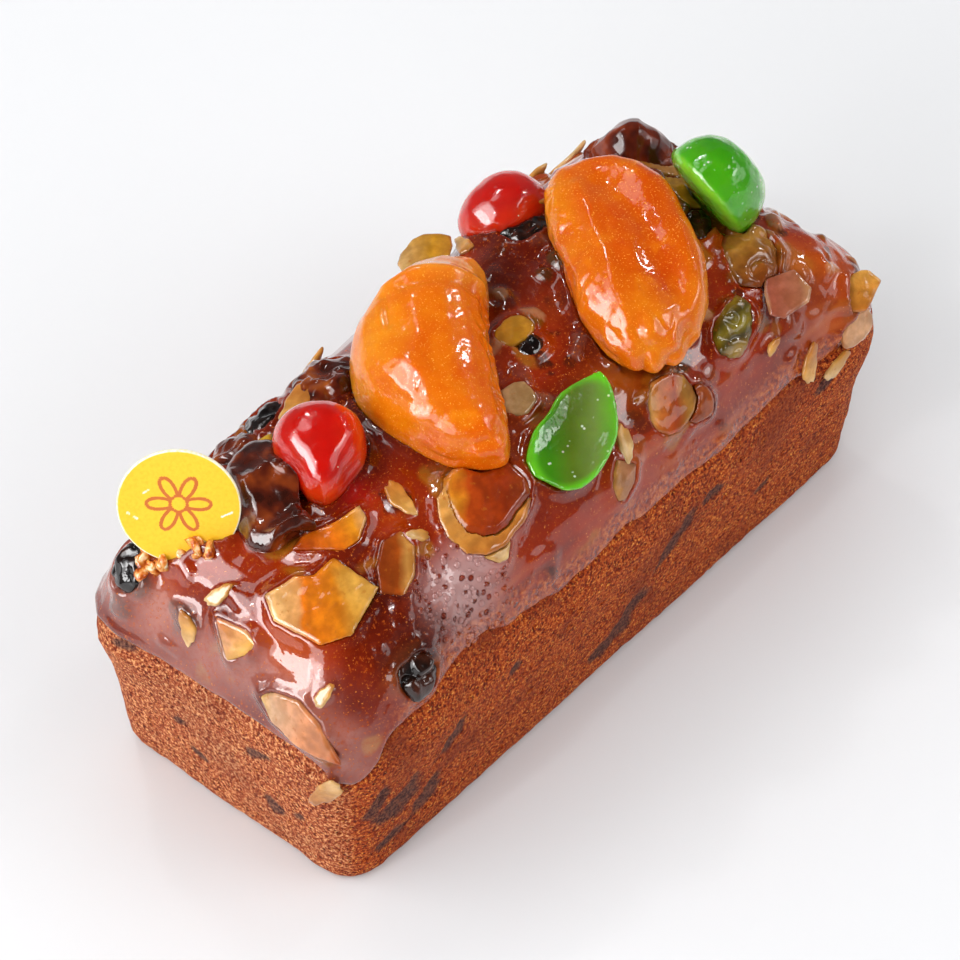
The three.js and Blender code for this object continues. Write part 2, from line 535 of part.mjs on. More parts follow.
function fruitCake() {
  const loaf = loafGeometry();
  loaf.computeVertexNormals();
  const crustSkin = toManifold(loafGeometry(GAP));
  const pieces = [
    ...FRUIT.map(fruitPiece),
    tagPiece(),
    ...SCATTERED.map((row) => layingPiece(loaf, row)),
  ];

  // Each piece gives way to the crust and to the pieces before it on the list.
  const toppings = new THREE.Group();
  const taken = [];
  for (const { name, finish, matrix, shape } of pieces) {
    let solid = toManifold(shape.clone().applyMatrix4(matrix)).subtract(crustSkin);
    for (const other of taken) solid = solid.subtract(other);
    const local = toGeometry(largestPart(solid.simplify(FINEST))).applyMatrix4(matrix.clone().invert());
    const mesh = meshOf(name, finish, local);
    mesh.applyMatrix4(matrix);
    toppings.add(mesh);
    taken.push(toManifold(grown(shape, GAP).applyMatrix4(matrix)));
  }

  // The slivers are part of the crust, clear of everything that lies on it.
  let cake = toManifold(loaf);
  for (const row of [...SLIVERS, ...farSlivers()]) {
    const width = row.length * SLIVER_SLIMNESS;
    const { shape, matrix } = layingPiece(loaf, { ...row, kind: 'sliver', width });
    let solid = toManifold(shape.applyMatrix4(matrix));
    for (const other of taken) solid = solid.subtract(other);
    cake = cake.add(solid);
  }
  const whole = new THREE.Group();
  whole.add(meshOf('cake', 'crust', toGeometry(largestPart(cake.simplify(FINEST)))));
  whole.add(toppings);
  return whole;
}

export default fruitCake();
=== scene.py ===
# %% [markdown]
# # A glazed fruit cake loaf
# A small baked loaf, thick with dried fruit, brushed with clear apricot glaze and topped with
# candied apricots, glacé cherries and flaked almonds. A round card tag stands in one corner.
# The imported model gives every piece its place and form. Each step here takes one of those solids,
# rounds it off at high resolution, and gives it the surface of the real food.

import math

import bmesh
import bpy
import numpy as np
from mathutils import Matrix, Vector
from mathutils.bvhtree import BVHTree


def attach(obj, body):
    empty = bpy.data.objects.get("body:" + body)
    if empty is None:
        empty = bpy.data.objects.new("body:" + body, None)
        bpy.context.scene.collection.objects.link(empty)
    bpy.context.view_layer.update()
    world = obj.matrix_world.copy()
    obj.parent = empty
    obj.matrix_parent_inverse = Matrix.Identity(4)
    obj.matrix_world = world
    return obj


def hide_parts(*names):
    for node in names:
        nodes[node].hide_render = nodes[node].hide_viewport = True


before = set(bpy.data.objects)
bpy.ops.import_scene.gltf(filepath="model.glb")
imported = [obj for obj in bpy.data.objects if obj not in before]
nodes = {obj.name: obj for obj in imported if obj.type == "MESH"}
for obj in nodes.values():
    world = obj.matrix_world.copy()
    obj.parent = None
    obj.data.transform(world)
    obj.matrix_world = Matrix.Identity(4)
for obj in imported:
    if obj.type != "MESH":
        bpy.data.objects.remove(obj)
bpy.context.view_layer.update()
MM = 0.001
print(len(nodes), "nodes in the frame")


# %% [markdown]
# ## Shader helpers
# Colours are picked as sRGB hex values, which is how a screen shows them, and one function turns
# them to the linear values that shaders add up. One more function adds a node with its settings
# and links, so that each material reads as a short list. The scale of each pattern comes from its
# real size in millimetres.

# %% Colour and node helpers
NOISE, VORONOI, BUMP = "ShaderNodeTexNoise", "ShaderNodeTexVoronoi", "ShaderNodeBump"
RAMP, RANGE, MIX = "ShaderNodeValToRGB", "ShaderNodeMapRange", "ShaderNodeMix"
MATH, ATTRIBUTE = "ShaderNodeMath", "ShaderNodeAttribute"
SMOOTH = {"interpolation_type": "SMOOTHSTEP"}  # 0 below one value, 1 above another, smooth between
COLOUR = {"data_type": "RGBA"}  # one colour laid over another
TINT = {"data_type": "RGBA", "blend_type": "MULTIPLY"}  # one colour seen through another
TIMES = {"operation": "MULTIPLY"}
PAINT = {"attribute_name": "paint"}  # the colours that are stored on the mesh


def linear(hex_colour):
    parts = [int(hex_colour[i : i + 2], 16) / 255 for i in (1, 3, 5)]
    return tuple([p / 12.92 if p <= 0.04045 else ((p + 0.055) / 1.055) ** 2.4 for p in parts] + [1.0])


def rgb(hex_colour):
    return np.array(linear(hex_colour)[:3])


def per_mm(size_mm):
    """The texture scale that makes a pattern's bumps about size_mm across."""
    return 1 / (size_mm * MM)


def wire(tree, node, **inputs):
    """Fills a node's inputs. A socket, or a node's first output in use, is linked; a value is set."""
    for name, value in inputs.items():
        key = int(name[1:]) if name[0] == "_" else name.replace("_", " ")
        if isinstance(value, bpy.types.Node):
            value = next(socket for socket in value.outputs if socket.enabled)
        if isinstance(value, bpy.types.NodeSocket):
            tree.links.new(value, node.inputs[key])
        else:
            node.inputs[key].default_value = value


def add(tree, kind, settings=None, **inputs):
    """Adds a node; settings are its own properties, or the (position, hex) stops of a ramp."""
    node = tree.nodes.new(kind)
    for name, value in (settings or {}).items():
        if name != "stops":
            setattr(node, name, value)
            continue
        elements = node.color_ramp.elements
        while len(elements) < len(value):
            elements.new(0.5)
        for element, (position, hex_colour) in zip(elements, value):
            element.position = position
            element.color = linear(hex_colour)
    wire(tree, node, **inputs)
    return node


def new_material(name):
    """A material with a Principled shader; returns it, its tree, the shader and Object coordinates."""
    material = bpy.data.materials.new(name)
    material.use_nodes = True
    tree = material.node_tree
    shader = tree.nodes["Principled BSDF"]
    place = add(tree, "ShaderNodeTexCoord").outputs["Object"]
    return material, tree, shader, place


print("mid grey is", round(linear("#808080")[0], 3), "in linear light")


# %% [markdown]
# ## Mesh helpers
# A CAD solid is faceted, and its underside is cut where it meets the loaf. A voxel remesh gives it
# an even skin of small quads, and a few rounds of smoothing take the facets off while the form
# stays. Relief is then pushed along the normals by plain functions of place, in millimetres.

# %% Remesh, smooth and displace
def copy_of(node, name):
    mesh = nodes[node].data.copy()
    mesh.materials.clear()
    piece = bpy.data.objects.new(name, mesh)
    bpy.context.scene.collection.objects.link(piece)
    shell = bmesh.new()
    shell.from_mesh(mesh)
    bmesh.ops.remove_doubles(shell, verts=shell.verts, dist=1e-6)
    shell.to_mesh(mesh)
    shell.free()
    return piece


def bake_modifiers(piece):
    """Applies the piece's modifiers to its mesh."""
    evaluated = piece.evaluated_get(bpy.context.evaluated_depsgraph_get())
    mesh = bpy.data.meshes.new_from_object(evaluated)
    old = piece.data
    piece.modifiers.clear()
    piece.data = mesh
    bpy.data.meshes.remove(old)
    return piece


def even_skin(piece, voxel_mm, smoothing):
    """Gives a piece an even skin of quads, then smooths it for some rounds."""
    remesh = piece.modifiers.new("skin", "REMESH")
    remesh.mode = "VOXEL"
    remesh.voxel_size = voxel_mm * MM
    smooth = piece.modifiers.new("smooth", "SMOOTH")
    smooth.factor = 0.5
    smooth.iterations = smoothing
    return bake_modifiers(piece)


def points_of(piece):
    flat = np.empty(len(piece.data.vertices) * 3)
    piece.data.vertices.foreach_get("co", flat)
    return flat.reshape(-1, 3) / MM


def normals_of(piece):
    flat = np.empty(len(piece.data.vertices) * 3)
    piece.data.vertices.foreach_get("normal", flat)
    return flat.reshape(-1, 3)


def set_points(piece, points):
    piece.data.vertices.foreach_set("co", (points * MM).ravel())
    piece.data.update()


def push(piece, depth):
    """Moves each vertex along its normal by depth, in millimetres."""
    set_points(piece, points_of(piece) + normals_of(piece) * depth[:, None])


def store(piece, name, values):
    """Keeps a number for each vertex, for a shader to read."""
    layer = piece.data.attributes.new(name, "FLOAT", "POINT")
    layer.data.foreach_set("value", np.asarray(values, np.float32))


def finish_piece(piece, material, slot, *replaced):
    """Dresses a piece, and says which body and nodes it belongs to. The slot is not used."""
    piece.data.materials.clear()
    piece.data.materials.append(material)
    piece.data.shade_smooth()
    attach(piece, "root")
    if replaced:
        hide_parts(*replaced)
    return piece


print("the solid of the cake has", len(nodes["cake"].data.polygons), "faces")


# %% [markdown]
# Relief needs noise that numpy can work out for many thousands of points at once. Value noise does:
# a hash gives each corner of a grid a number, and a point takes a smooth mix of the eight corners
# round it. Cell noise gives the distance to the nearest of a scatter of points, for pores and bubbles.

# %% Numpy noise
def lattice(cells, seed):
    """A repeatable number from 0 to 1 for each integer cell."""
    x, y, z = (cells[:, k].astype(np.uint64) for k in range(3))
    mixed = x * np.uint64(73856093) ^ y * np.uint64(19349663) ^ z * np.uint64(83492791)
    mixed ^= np.uint64(seed * 2654435761 % 2**32)
    mixed = (mixed ^ (mixed >> np.uint64(13))) * np.uint64(1274126177) & np.uint64(0xFFFFFFFF)
    mixed = (mixed ^ (mixed >> np.uint64(16))) * np.uint64(2246822519) & np.uint64(0xFFFFFFFF)
    return (mixed & np.uint64(0xFFFFFF)).astype(float) / 0xFFFFFF


def value_noise(points, size, seed):
    """Smooth noise from -1 to 1 with bumps about `size` millimetres across."""
    scaled = points / size + 1000.0
    cell = np.floor(scaled).astype(np.int64)
    part = scaled - cell
    part = part * part * (3 - 2 * part)
    total = np.zeros(len(points))
    for corner in range(8):
        step = np.array([corner & 1, corner >> 1 & 1, corner >> 2 & 1])
        share = np.prod(np.where(step, part, 1 - part), axis=1)
        total += share * lattice(cell + step, seed)
    return total * 2 - 1


def rough_noise(points, size, seed, octaves=3):
    total = np.zeros(len(points))
    for k in range(octaves):
        total += value_noise(points, size / 2**k, seed + k) / 2**k
    return total


def cell_noise(points, size, seed):
    """Distance in millimetres to the nearest scattered point, and that point's own number."""
    scaled = points / size + 1000.0
    cell = np.floor(scaled).astype(np.int64)
    best = np.full(len(points), 9.0)
    owner = np.zeros(len(points))
    for i in (-1, 0, 1):
        for j in (-1, 0, 1):
            for k in (-1, 0, 1):
                near = cell + np.array([i, j, k])
                spot = near + np.stack([lattice(near, seed + n) for n in range(3)], axis=1)
                away = np.linalg.norm(spot - scaled, axis=1)
                closer = away < best
                best = np.where(closer, away, best)
                owner = np.where(closer, lattice(near, seed + 5), owner)
    return best * size, owner


def smooth_step(value, low, high):
    t = np.clip((value - low) / (high - low), 0, 1)
    return t * t * (3 - 2 * t)


def warped(points, size, depth, seed):
    """The points shifted by noise, so that round patterns on them turn out irregular."""
    return points + depth * np.stack([value_noise(points, size, seed + k) for k in range(3)], axis=1)


def stretched(points, heading_deg, along, across):
    """Points squeezed so that noise on them is drawn out along a heading."""
    turn = math.radians(heading_deg)
    run = points[:, 0] * math.cos(turn) + points[:, 1] * math.sin(turn)
    side = -points[:, 0] * math.sin(turn) + points[:, 1] * math.cos(turn)
    return np.stack([run / along, side / across, points[:, 2]], axis=1)


def near_path(points, path):
    """Level distance in mm from each point to a path of (x, y) points in mm."""
    best = np.full(len(points), 1e3)
    flat = points[:, :2]
    for start, end in zip(np.array(path[:-1], float), np.array(path[1:], float)):
        line = end - start
        share = np.clip(((flat - start) @ line) / (line @ line), 0, 1)
        best = np.minimum(best, np.linalg.norm(flat - start - share[:, None] * line, axis=1))
    return best


sample = value_noise(np.arange(300.0).reshape(100, 3), 7, 1)
print("noise runs from", round(sample.min(), 2), "to", round(sample.max(), 2))


# %% [markdown]
# ## Camera and light
# The cake is seen from above one corner, from far away with a long lens, so its edges stay nearly
# parallel. It stands on a plain pale table in a white studio: a large soft light behind and to the
# left makes the shadow fall to the right, and white panels round the front are there mainly to be
# seen as broad pale reflections in the glaze.

# %% Camera
AIM_MM = Vector((-3.60, -0.46, 32.73))
CAMERA_HEADING = -48.10  # degrees from straight in front of the end, seen from above
CAMERA_HEIGHT = 49.98  # degrees above the level
CAMERA_AWAY_MM = 825.5
LENS_MM = 168.75
SENSOR_MM = 36.0

heading = math.radians(CAMERA_HEADING)
height = math.radians(CAMERA_HEIGHT)
level_share = math.cos(height)
back = Vector((math.sin(heading) * level_share, -math.cos(heading) * level_share, math.sin(height)))
camera_data = bpy.data.cameras.new("camera")
camera_data.lens = LENS_MM
camera_data.sensor_width = SENSOR_MM
camera = bpy.data.objects.new("camera", camera_data)
camera.location = (AIM_MM + back * CAMERA_AWAY_MM) * MM
camera.rotation_euler = back.to_track_quat("Z", "Y").to_euler()
bpy.context.scene.collection.objects.link(camera)
bpy.context.scene.camera = camera
print("camera at", [round(v, 4) for v in camera.location])


# %% Lights
def soft_light(name, heading_deg, height_deg, away, size, power):
    """A rectangular light aimed at the loaf; away and size are in metres, power in watts."""
    data = bpy.data.lights.new(name, "AREA")
    data.shape = "RECTANGLE"
    data.size, data.size_y = size
    data.energy = power
    light = bpy.data.objects.new(name, data)
    a, h = math.radians(heading_deg), math.radians(height_deg)
    toward = Vector((math.cos(a) * math.cos(h), math.sin(a) * math.cos(h), math.sin(h)))
    light.location = toward * away
    light.rotation_euler = toward.to_track_quat("Z", "Y").to_euler()
    bpy.context.scene.collection.objects.link(light)
    return light


soft_light("softbox_left", 150, 39, 1.3, (1.3, 1.0), 10)
soft_light("softbox_front", -50, 32, 1.3, (1.0, 0.6), 3.3)
soft_light("panel_end", -168, 22, 1.3, (0.8, 0.6), 7)
soft_light("panel_behind", 93, 62, 1.5, (0.4, 0.35), 1.3)
# Brighter sheets in the two softboxes show as shine and add hardly any light.
soft_light("sheet_left", 158, 37, 1.29, (1.15, 0.9), 15).visible_diffuse = False
soft_light("middle_left", 156, 29, 1.28, (0.9, 0.5), 10).visible_diffuse = False
soft_light("middle_front", -50, 40, 1.29, (0.5, 0.3), 2.4).visible_diffuse = False
# Three small lamps make sharp white glints.
soft_light("glint_behind", 70, 54, 1.3, (0.12, 0.08), 1.2)
soft_light("glint_left", 178, 52, 1.3, (0.08, 0.12), 1.2)
soft_light("glint_right", -8, 38, 1.3, (0.08, 0.12), 1.2)
# Three even lights fill the shadows, and are kept out of the reflections.
soft_light("fill_above", 0, 90, 2.0, (3.0, 3.0), 20).visible_glossy = False
soft_light("fill_front", -70, 30, 2.0, (1.5, 1.5), 11).visible_glossy = False
soft_light("fill_behind", 40, 35, 2.2, (1.5, 1.5), 7).visible_glossy = False

# %% Studio walls: pale round the sides and darker overhead
WALL_STRENGTH = 0.18
CEILING_STRENGTH = 0.06

world = bpy.data.worlds.new("studio")
world.use_nodes = True
sky = world.node_tree
rise = add(sky, "ShaderNodeSeparateXYZ", Vector=add(sky, "ShaderNodeTexCoord").outputs["Generated"])
walls = add(sky, RANGE, SMOOTH, _0=rise.outputs["Z"], _1=0.45, _2=0.72, _3=WALL_STRENGTH, _4=CEILING_STRENGTH)
wire(sky, sky.nodes["Background"], Color=linear("#F4F5F8"), Strength=walls)
bpy.context.scene.world = world
bpy.context.scene.view_settings.view_transform = "Standard"

# %% Table: matt white, so that it shows the soft shadow and no reflection
HALF_TABLE = 3.0  # metres

table_mesh = bpy.data.meshes.new("table")
corners = [(x * HALF_TABLE, y * HALF_TABLE, 0) for x, y in ((-1, -1), (1, -1), (1, 1), (-1, 1))]
table_mesh.from_pydata(corners, [], [(0, 1, 2, 3)])
table = bpy.data.objects.new("table", table_mesh)
bpy.context.scene.collection.objects.link(table)
white, tree, shader, _ = new_material("matt_white_table")
wire(tree, shader, Base_Color=linear("#DFE0E2"), Roughness=0.65)
table_mesh.materials.append(white)
print("table", 2 * HALF_TABLE, "m across")


# %% [markdown]
# ## The crumb
# The sides and ends of the loaf are bare: they baked against the tin, so they are flat and matt.
# They are reddish brown and pitted all over where the batter held air, and both ends are drawn paler
# as painted light. Dried fruit pressed against the tin shows through as dark smudges. The skin takes
# coarse relief from numpy, and the finest pores come from the shader, being smaller than a face of the mesh.

# %% Where the glaze ends
LEVEL = np.array([1.0, 1.0, 0.0])  # leaves out the height


def glaze_edge(points):
    """Height in mm at which the glaze stops running down, round the loaf."""
    x, y = points[:, 0], points[:, 1]
    near_side = smooth_step(-y, 24, 31)
    front_end = smooth_step(-x, 60, 70)
    height = 41.6 + 4.6 * np.exp(-(((x + 42) / 13) ** 2)) * near_side - 2.8 * front_end
    height -= 5.0 * np.exp(-((x + 71) ** 2 + (y + 30) ** 2) / 30)
    flat = points * LEVEL
    return height + 0.9 * value_noise(flat, 12, 5) + 0.7 * value_noise(flat, 4.5, 6)


def shades(share, stops):
    """Linear RGB for each share, from (position, hex colour) stops."""
    table = np.array([linear(colour)[:3] for _, colour in stops])
    return np.stack([np.interp(share, [p for p, _ in stops], table[:, k]) for k in range(3)], axis=1)


def lay_over(under, over, share):
    return under + (over - under) * np.clip(share, 0, 1)[:, None]


def store_colour(piece, colours):
    layer = piece.data.attributes.new("paint", "FLOAT_COLOR", "POINT")
    layer.data.foreach_set("color", np.c_[colours, np.ones(len(colours))].astype(np.float32).ravel())


# %% Smudges of dark fruit
# Each smudge: where it is, how long it is, how deep its fruit goes down the side, and its slant.
NEAR_SMUDGES = [
    (-60, 20, 15, 9, 0.4), (-52, 13, 9, 7, 0.6), (-66, 24, 7, 5, 0.9), (-61, 9, 7, 5, 0.2),
    (-47, 27, 8, 5, 0.4), (-31, 30, 5, 3, 0.0), (3, 13, 12, 8, 0.6), (-4, 9, 9, 6, 0.4),
    (12, 24, 13, 6, 0.9), (24, 31, 6, 3, 0.0), (56, 34, 6, 4, 0.2), (41, 17, 6, 3, 0.3),
]
END_SMUDGES = [
    (18, 37, 6, 3, -0.2), (9, 21, 6, 3, -0.4), (-12, 29, 7, 3, -0.5), (-14, 14, 5, 3, 0.2),
    (-19, 16, 4, 3, 0.0), (6, 13, 5, 2, 0.3),
]
FAR_SMUDGES = [
    (-50, 25, 8, 4, 0.4), (-22, 14, 10, 4, -0.3), (4, 30, 6, 3, 0.2), (31, 20, 9, 5, 0.5),
    (55, 11, 7, 4, 0.0),
]
FAR_END_SMUDGES = [(-15, 26, 7, 4, 0.4), (3, 14, 8, 4, -0.3), (18, 30, 6, 3, 0.3)]


def smudge_cover(points, normals, facing, run_axis, smudges):
    """How much of each point is covered by the smudges on the side that faces `facing`."""
    on_side = smooth_step(normals @ np.array(facing), 0.5, 0.8)
    warp = np.stack([rough_noise(points, 6.0, seed, 2) for seed in (71, 76)], axis=1)
    run = points[:, run_axis] + warp[:, 0]
    rise = points[:, 2] + warp[:, 1]
    ragged = 0.45 * rough_noise(points, 3.0, 78, 2)
    cover = np.zeros(len(points))
    for place, level, length, depth, slant in smudges:
        level_here = rise - level - slant * (run - place)
        reach = np.sqrt(((run - place) / (length / 2)) ** 2 + (level_here / (0.65 * depth)) ** 2)
        cover = np.maximum(cover, 1 - smooth_step(reach + ragged, 0.35, 1.3))
    return cover * on_side


# %% Shape of the crumb
PIT_DEPTH = 0.5  # mm
GLAZE_BED = 0.9  # how much deeper in mm the crust lies under the glaze

crumb = even_skin(copy_of("cake", "crumb"), voxel_mm=0.75, smoothing=4)
skin, facing_out = points_of(crumb), normals_of(crumb)
above_edge = skin[:, 2] - glaze_edge(skin)
bare = 1 - smooth_step(above_edge, -1.5, 0.5)
fruit_cover = np.maximum.reduce([
    smudge_cover(skin, facing_out, (0, -1, 0), 0, NEAR_SMUDGES),
    smudge_cover(skin, facing_out, (-1, 0, 0), 1, END_SMUDGES),
    smudge_cover(skin, facing_out, (0, 1, 0), 0, FAR_SMUDGES),
    smudge_cover(skin, facing_out, (1, 0, 0), 1, FAR_END_SMUDGES),
])
grain = 0.10 * rough_noise(skin, 1.9, 11, 2) + 0.18 * rough_noise(skin, 7, 14, 3)
away, _ = cell_noise(skin, 5.0, 21)
pits = -PIT_DEPTH * (1 - smooth_step(away, 0.3, 0.9))
off_base = smooth_step(skin[:, 2], 0.1, 1.2)  # the base stays flat, to stand on
push(crumb, bare * off_base * (grain + pits - 0.25 * fruit_cover) - GLAZE_BED * (1 - bare))
store(crumb, "fruit", fruit_cover * bare)
# How much each point faces an end of the loaf, where the shader paints light.
store(crumb, "pale", smooth_step(np.abs(facing_out[:, 0]), 0.5, 0.9))
print(len(crumb.data.polygons), "faces in the crumb")

# %% Baked crumb: matt and pitted, warm red brown, with orange flecks where the light gets in
# The real grain is finer. It is drawn 0.4 to 0.6 mm across, which is as coarse as it needs to show.
baked, tree, shader, place = new_material("baked_crumb")
broad = add(tree, NOISE, Vector=place, Scale=per_mm(14), Detail=3)
fine = add(tree, NOISE, Vector=place, Scale=per_mm(0.62), Detail=5, Roughness=0.68)
flecks = add(tree, NOISE, Vector=place, Scale=per_mm(0.45))
crust_stops = [(0.37, "#4E1204"), (0.46, "#8C2E0A"), (0.55, "#B44A14"), (0.65, "#DE843A")]
crust_colour = add(tree, RAMP, {"stops": crust_stops}, Fac=fine)
orange = add(tree, RANGE, SMOOTH, Value=flecks, From_Min=0.60, From_Max=0.69)
crust_colour = add(tree, MIX, COLOUR, _0=orange, _6=crust_colour, _7=linear("#EC9C46"))
reddish = add(tree, RAMP, {"stops": [(0.3, "#5E1A0C"), (0.7, "#9A421C")]}, Fac=fine)
red_parts = add(tree, RANGE, SMOOTH, Value=broad, From_Min=0.46, From_Max=0.78)
crust_colour = add(tree, MIX, COLOUR, _0=red_parts, _6=crust_colour, _7=reddish)
# Painted light: both ends are drawn paler, up to a pale gold, as if the light fell more strongly on them.
at_ends = add(tree, ATTRIBUTE, {"attribute_name": "pale"}).outputs["Fac"]
end_light = add(tree, MATH, TIMES, _0=at_ends, _1=0.42)
end_light_stops = [(0.39, "#5E1604"), (0.5, "#B45C34"), (0.61, "#FFD29C")]
end_light_tones = add(tree, RAMP, {"stops": end_light_stops}, Fac=fine)
crust_colour = add(tree, MIX, COLOUR, _0=end_light, _6=crust_colour, _7=end_light_tones)
# The pores are dents, and their middles are also painted dark red as shade in the hollows.
pores = add(tree, VORONOI, Vector=place, Scale=per_mm(1.05))
pore_depth = add(tree, RANGE, SMOOTH, Value=pores, From_Min=0.04, From_Max=0.36)
crust_colour = add(tree, MIX, COLOUR, _0=pore_depth, _6=linear("#641C0C"), _7=crust_colour)
covered = add(tree, ATTRIBUTE, {"attribute_name": "fruit"}).outputs["Fac"]
patchy = add(tree, MATH, {"operation": "MULTIPLY_ADD"}, _0=broad, _1=0.5, _2=covered)
shows = add(tree, RANGE, SMOOTH, Value=patchy, From_Min=0.45, From_Max=1.2)
smudged = add(tree, MATH, TIMES, _0=shows, _1=0.85)
smudge_stops = [(0.38, "#261614"), (0.5, "#463230"), (0.62, "#74483A")]
smudge = add(tree, RAMP, {"stops": smudge_stops}, Fac=fine)
crust_colour = add(tree, MIX, COLOUR, _0=smudged, _6=crust_colour, _7=smudge)
grainy = add(tree, BUMP, Height=fine, Distance=0.4 * MM)
grainy = add(tree, BUMP, Height=pore_depth, Distance=0.34 * MM, Normal=grainy)
grainy = add(tree, BUMP, Height=flecks, Distance=0.14 * MM, Normal=grainy)
wire(tree, shader, Base_Color=crust_colour, Roughness=0.72, Specular_IOR_Level=0.14, Normal=grainy)
finish_piece(crumb, baked, "crust", "cake")
print(len(tree.nodes), "nodes in the baked crumb")


# %% [markdown]
# ## The glaze
# Clear apricot glaze was brushed on hot. It runs over the shoulder and stops in a rounded bead part
# way down, pools in the hollows, and climbs a little way up everything that stands in it. It is made
# as a shell of its own over the crust: thin on the flats, thick at the bead, and closed underneath.
# The glaze itself is seen by its reflections, so it has a sharp clear coat over a colour that is the
# crust showing through, with specks of gold where crumbs and tiny bubbles catch the light; painted
# reflection, shade and glow are added to that colour in a few places.

# %% Tools that fit a shell to what stands in it
def search_tree(*names):
    """A search tree over CAD nodes, in millimetres."""
    corners, faces = [], []
    for name in names:
        mesh = nodes[name].data
        start = len(corners)
        corners += [vertex.co / MM for vertex in mesh.vertices]
        faces += [[start + k for k in face.vertices] for face in mesh.polygons]
    return BVHTree.FromPolygons(corners, faces)


def distance_to(tree, points, reach=4.0):
    """Distance in mm from each point to the nearest piece in the tree, up to reach."""
    away = np.full(len(points), reach)
    for index, point in enumerate(points):
        found = tree.find_nearest(Vector(point), reach)
        if found[0] is not None:
            away[index] = found[3]
    return away


def lies_under(tree, points, outward, close):
    """Whether a piece in the tree covers each point, asked only of the points close to one."""
    under = np.zeros(len(points), bool)
    for index in np.flatnonzero(close):
        direction = Vector(outward[index])
        found = tree.ray_cast(Vector(points[index]) - 3 * direction, direction, 7)
        under[index] = found[0] is not None
    return under


def edge_ends(piece):
    ends = np.empty(len(piece.data.edges) * 2, int)
    piece.data.edges.foreach_get("vertices", ends)
    return ends.reshape(-1, 2)


def without_rim(piece, mask, rings):
    """Takes rings of vertices off the rim of a mask."""
    ends = edge_ends(piece)
    for _ in range(rings):
        mask = mask.copy()
        mask[ends[mask[ends[:, 0]] != mask[ends[:, 1]]].ravel()] = False
    return mask


def evened(piece, values, rounds):
    """The values averaged with those of their neighbours on the mesh."""
    ends = edge_ends(piece)
    shares = np.maximum(np.bincount(ends.ravel(), minlength=len(values)), 1)
    for _ in range(rounds):
        total = np.bincount(ends[:, 0], values[ends[:, 1]], len(values))
        total += np.bincount(ends[:, 1], values[ends[:, 0]], len(values))
        values = 0.4 * values + 0.6 * total / shares
    return values


FAN_MIDDLE = Vector((0, 0, 36))  # mm, inside the loaf


def keep_faces(piece, keep):
    """Removes the vertices that aren't kept, and closes the hole with a fan inside the cake."""
    shell = bmesh.new()
    shell.from_mesh(piece.data)
    shell.verts.ensure_lookup_table()
    bmesh.ops.delete(shell, geom=[shell.verts[k] for k in np.flatnonzero(~keep)], context="VERTS")
    inside = shell.verts.new(FAN_MIDDLE * MM)
    for edge in [edge for edge in shell.edges if len(edge.link_loops) == 1]:
        start = edge.link_loops[0].vert
        shell.faces.new((edge.other_vert(start), start, inside))
    loose = [vertex for vertex in shell.verts if not vertex.link_faces]
    bmesh.ops.delete(shell, geom=loose, context="VERTS")
    shell.to_mesh(piece.data)
    shell.free()


# %% How thick the film is, and what stands in it
toppings = [name for name in nodes if name != "cake"]
standing = search_tree(*toppings)
glaze = even_skin(copy_of("cake", "glaze"), voxel_mm=0.55, smoothing=6)
top = points_of(glaze)
keep_faces(glaze, top[:, 2] - glaze_edge(top) > -2.5)
top, upward = points_of(glaze), normals_of(glaze)
run_down = top[:, 2] - glaze_edge(top)
long_side = smooth_step(np.abs(top[:, 1]), 22, 28) * smooth_step(top[:, 0], -66, -52)
# Height above the edge, and the depth of the film there, in mm: a rounded bead, or a thin long side.
BEAD = ([-1.6, -0.7, 0.0, 0.5, 1.2, 2.6, 6.0], [-1.3, -0.6, 0.2, 0.65, 0.7, 0.4, 0.3])
THIN_RUN = ([-1.6, -0.7, 0.0, 1.0, 3.0, 6.0], [-1.3, -0.6, 0.0, 0.15, 0.2, 0.3])
thick_film, thin_film = np.interp(run_down, *BEAD), np.interp(run_down, *THIN_RUN)
film = thick_film + (thin_film - thick_film) * long_side
inside_edge = smooth_step(run_down, 0.5, 3.0)
beside = distance_to(standing, top)
climb = 1.6 * np.exp(-((beside / 1.7) ** 2))
print(round(beside.min(), 2), "mm from the glaze to the nearest piece")

# %% Lumps, swells and flecks under the glaze, thickest where small fruit crowds together
crowded = smooth_step(top[:, 0], -12, 6) * (1 - smooth_step(np.abs(top[:, 1] + 7), 15, 25))
far_corner = np.exp(-(((top[:, 0] - 60) / 13) ** 2 + ((top[:, 1] + 24) / 12) ** 2))
crowded = np.maximum(crowded, 0.8 * far_corner)
lump_away, lump = cell_noise(warped(top, 5, 3.2, 44), 8.5, 41)
lumps = 0.9 * (1 - smooth_step(lump_away, 1.0, 4.4)) * (lump > 0.45)
swell = (0.25 + 0.2 * crowded) * rough_noise(top, 9, 31, 2)
swell += (0.08 + 0.14 * crowded) * value_noise(top, 3.6, 34)
swell += crowded * (0.55 * rough_noise(warped(top, 4, 2, 37), 5, 36, 2) - 0.1)
raised = np.maximum(climb + swell + lumps - 0.1, -0.15)
hidden = without_rim(glaze, lies_under(standing, top, upward, beside < 4), 1)
fleck_away, fleck = cell_noise(warped(top, 4, 2.2, 54), 4.8, 57)
raised += 0.9 * crowded * (1 - smooth_step(fleck_away, 1.5, 2.3)) * (fleck > 0.25)
raised = evened(glaze, np.where(hidden, np.minimum(raised, -0.1), raised), 2)
push(glaze, film + inside_edge * raised)
print(len(glaze.data.polygons), "faces in the glaze")
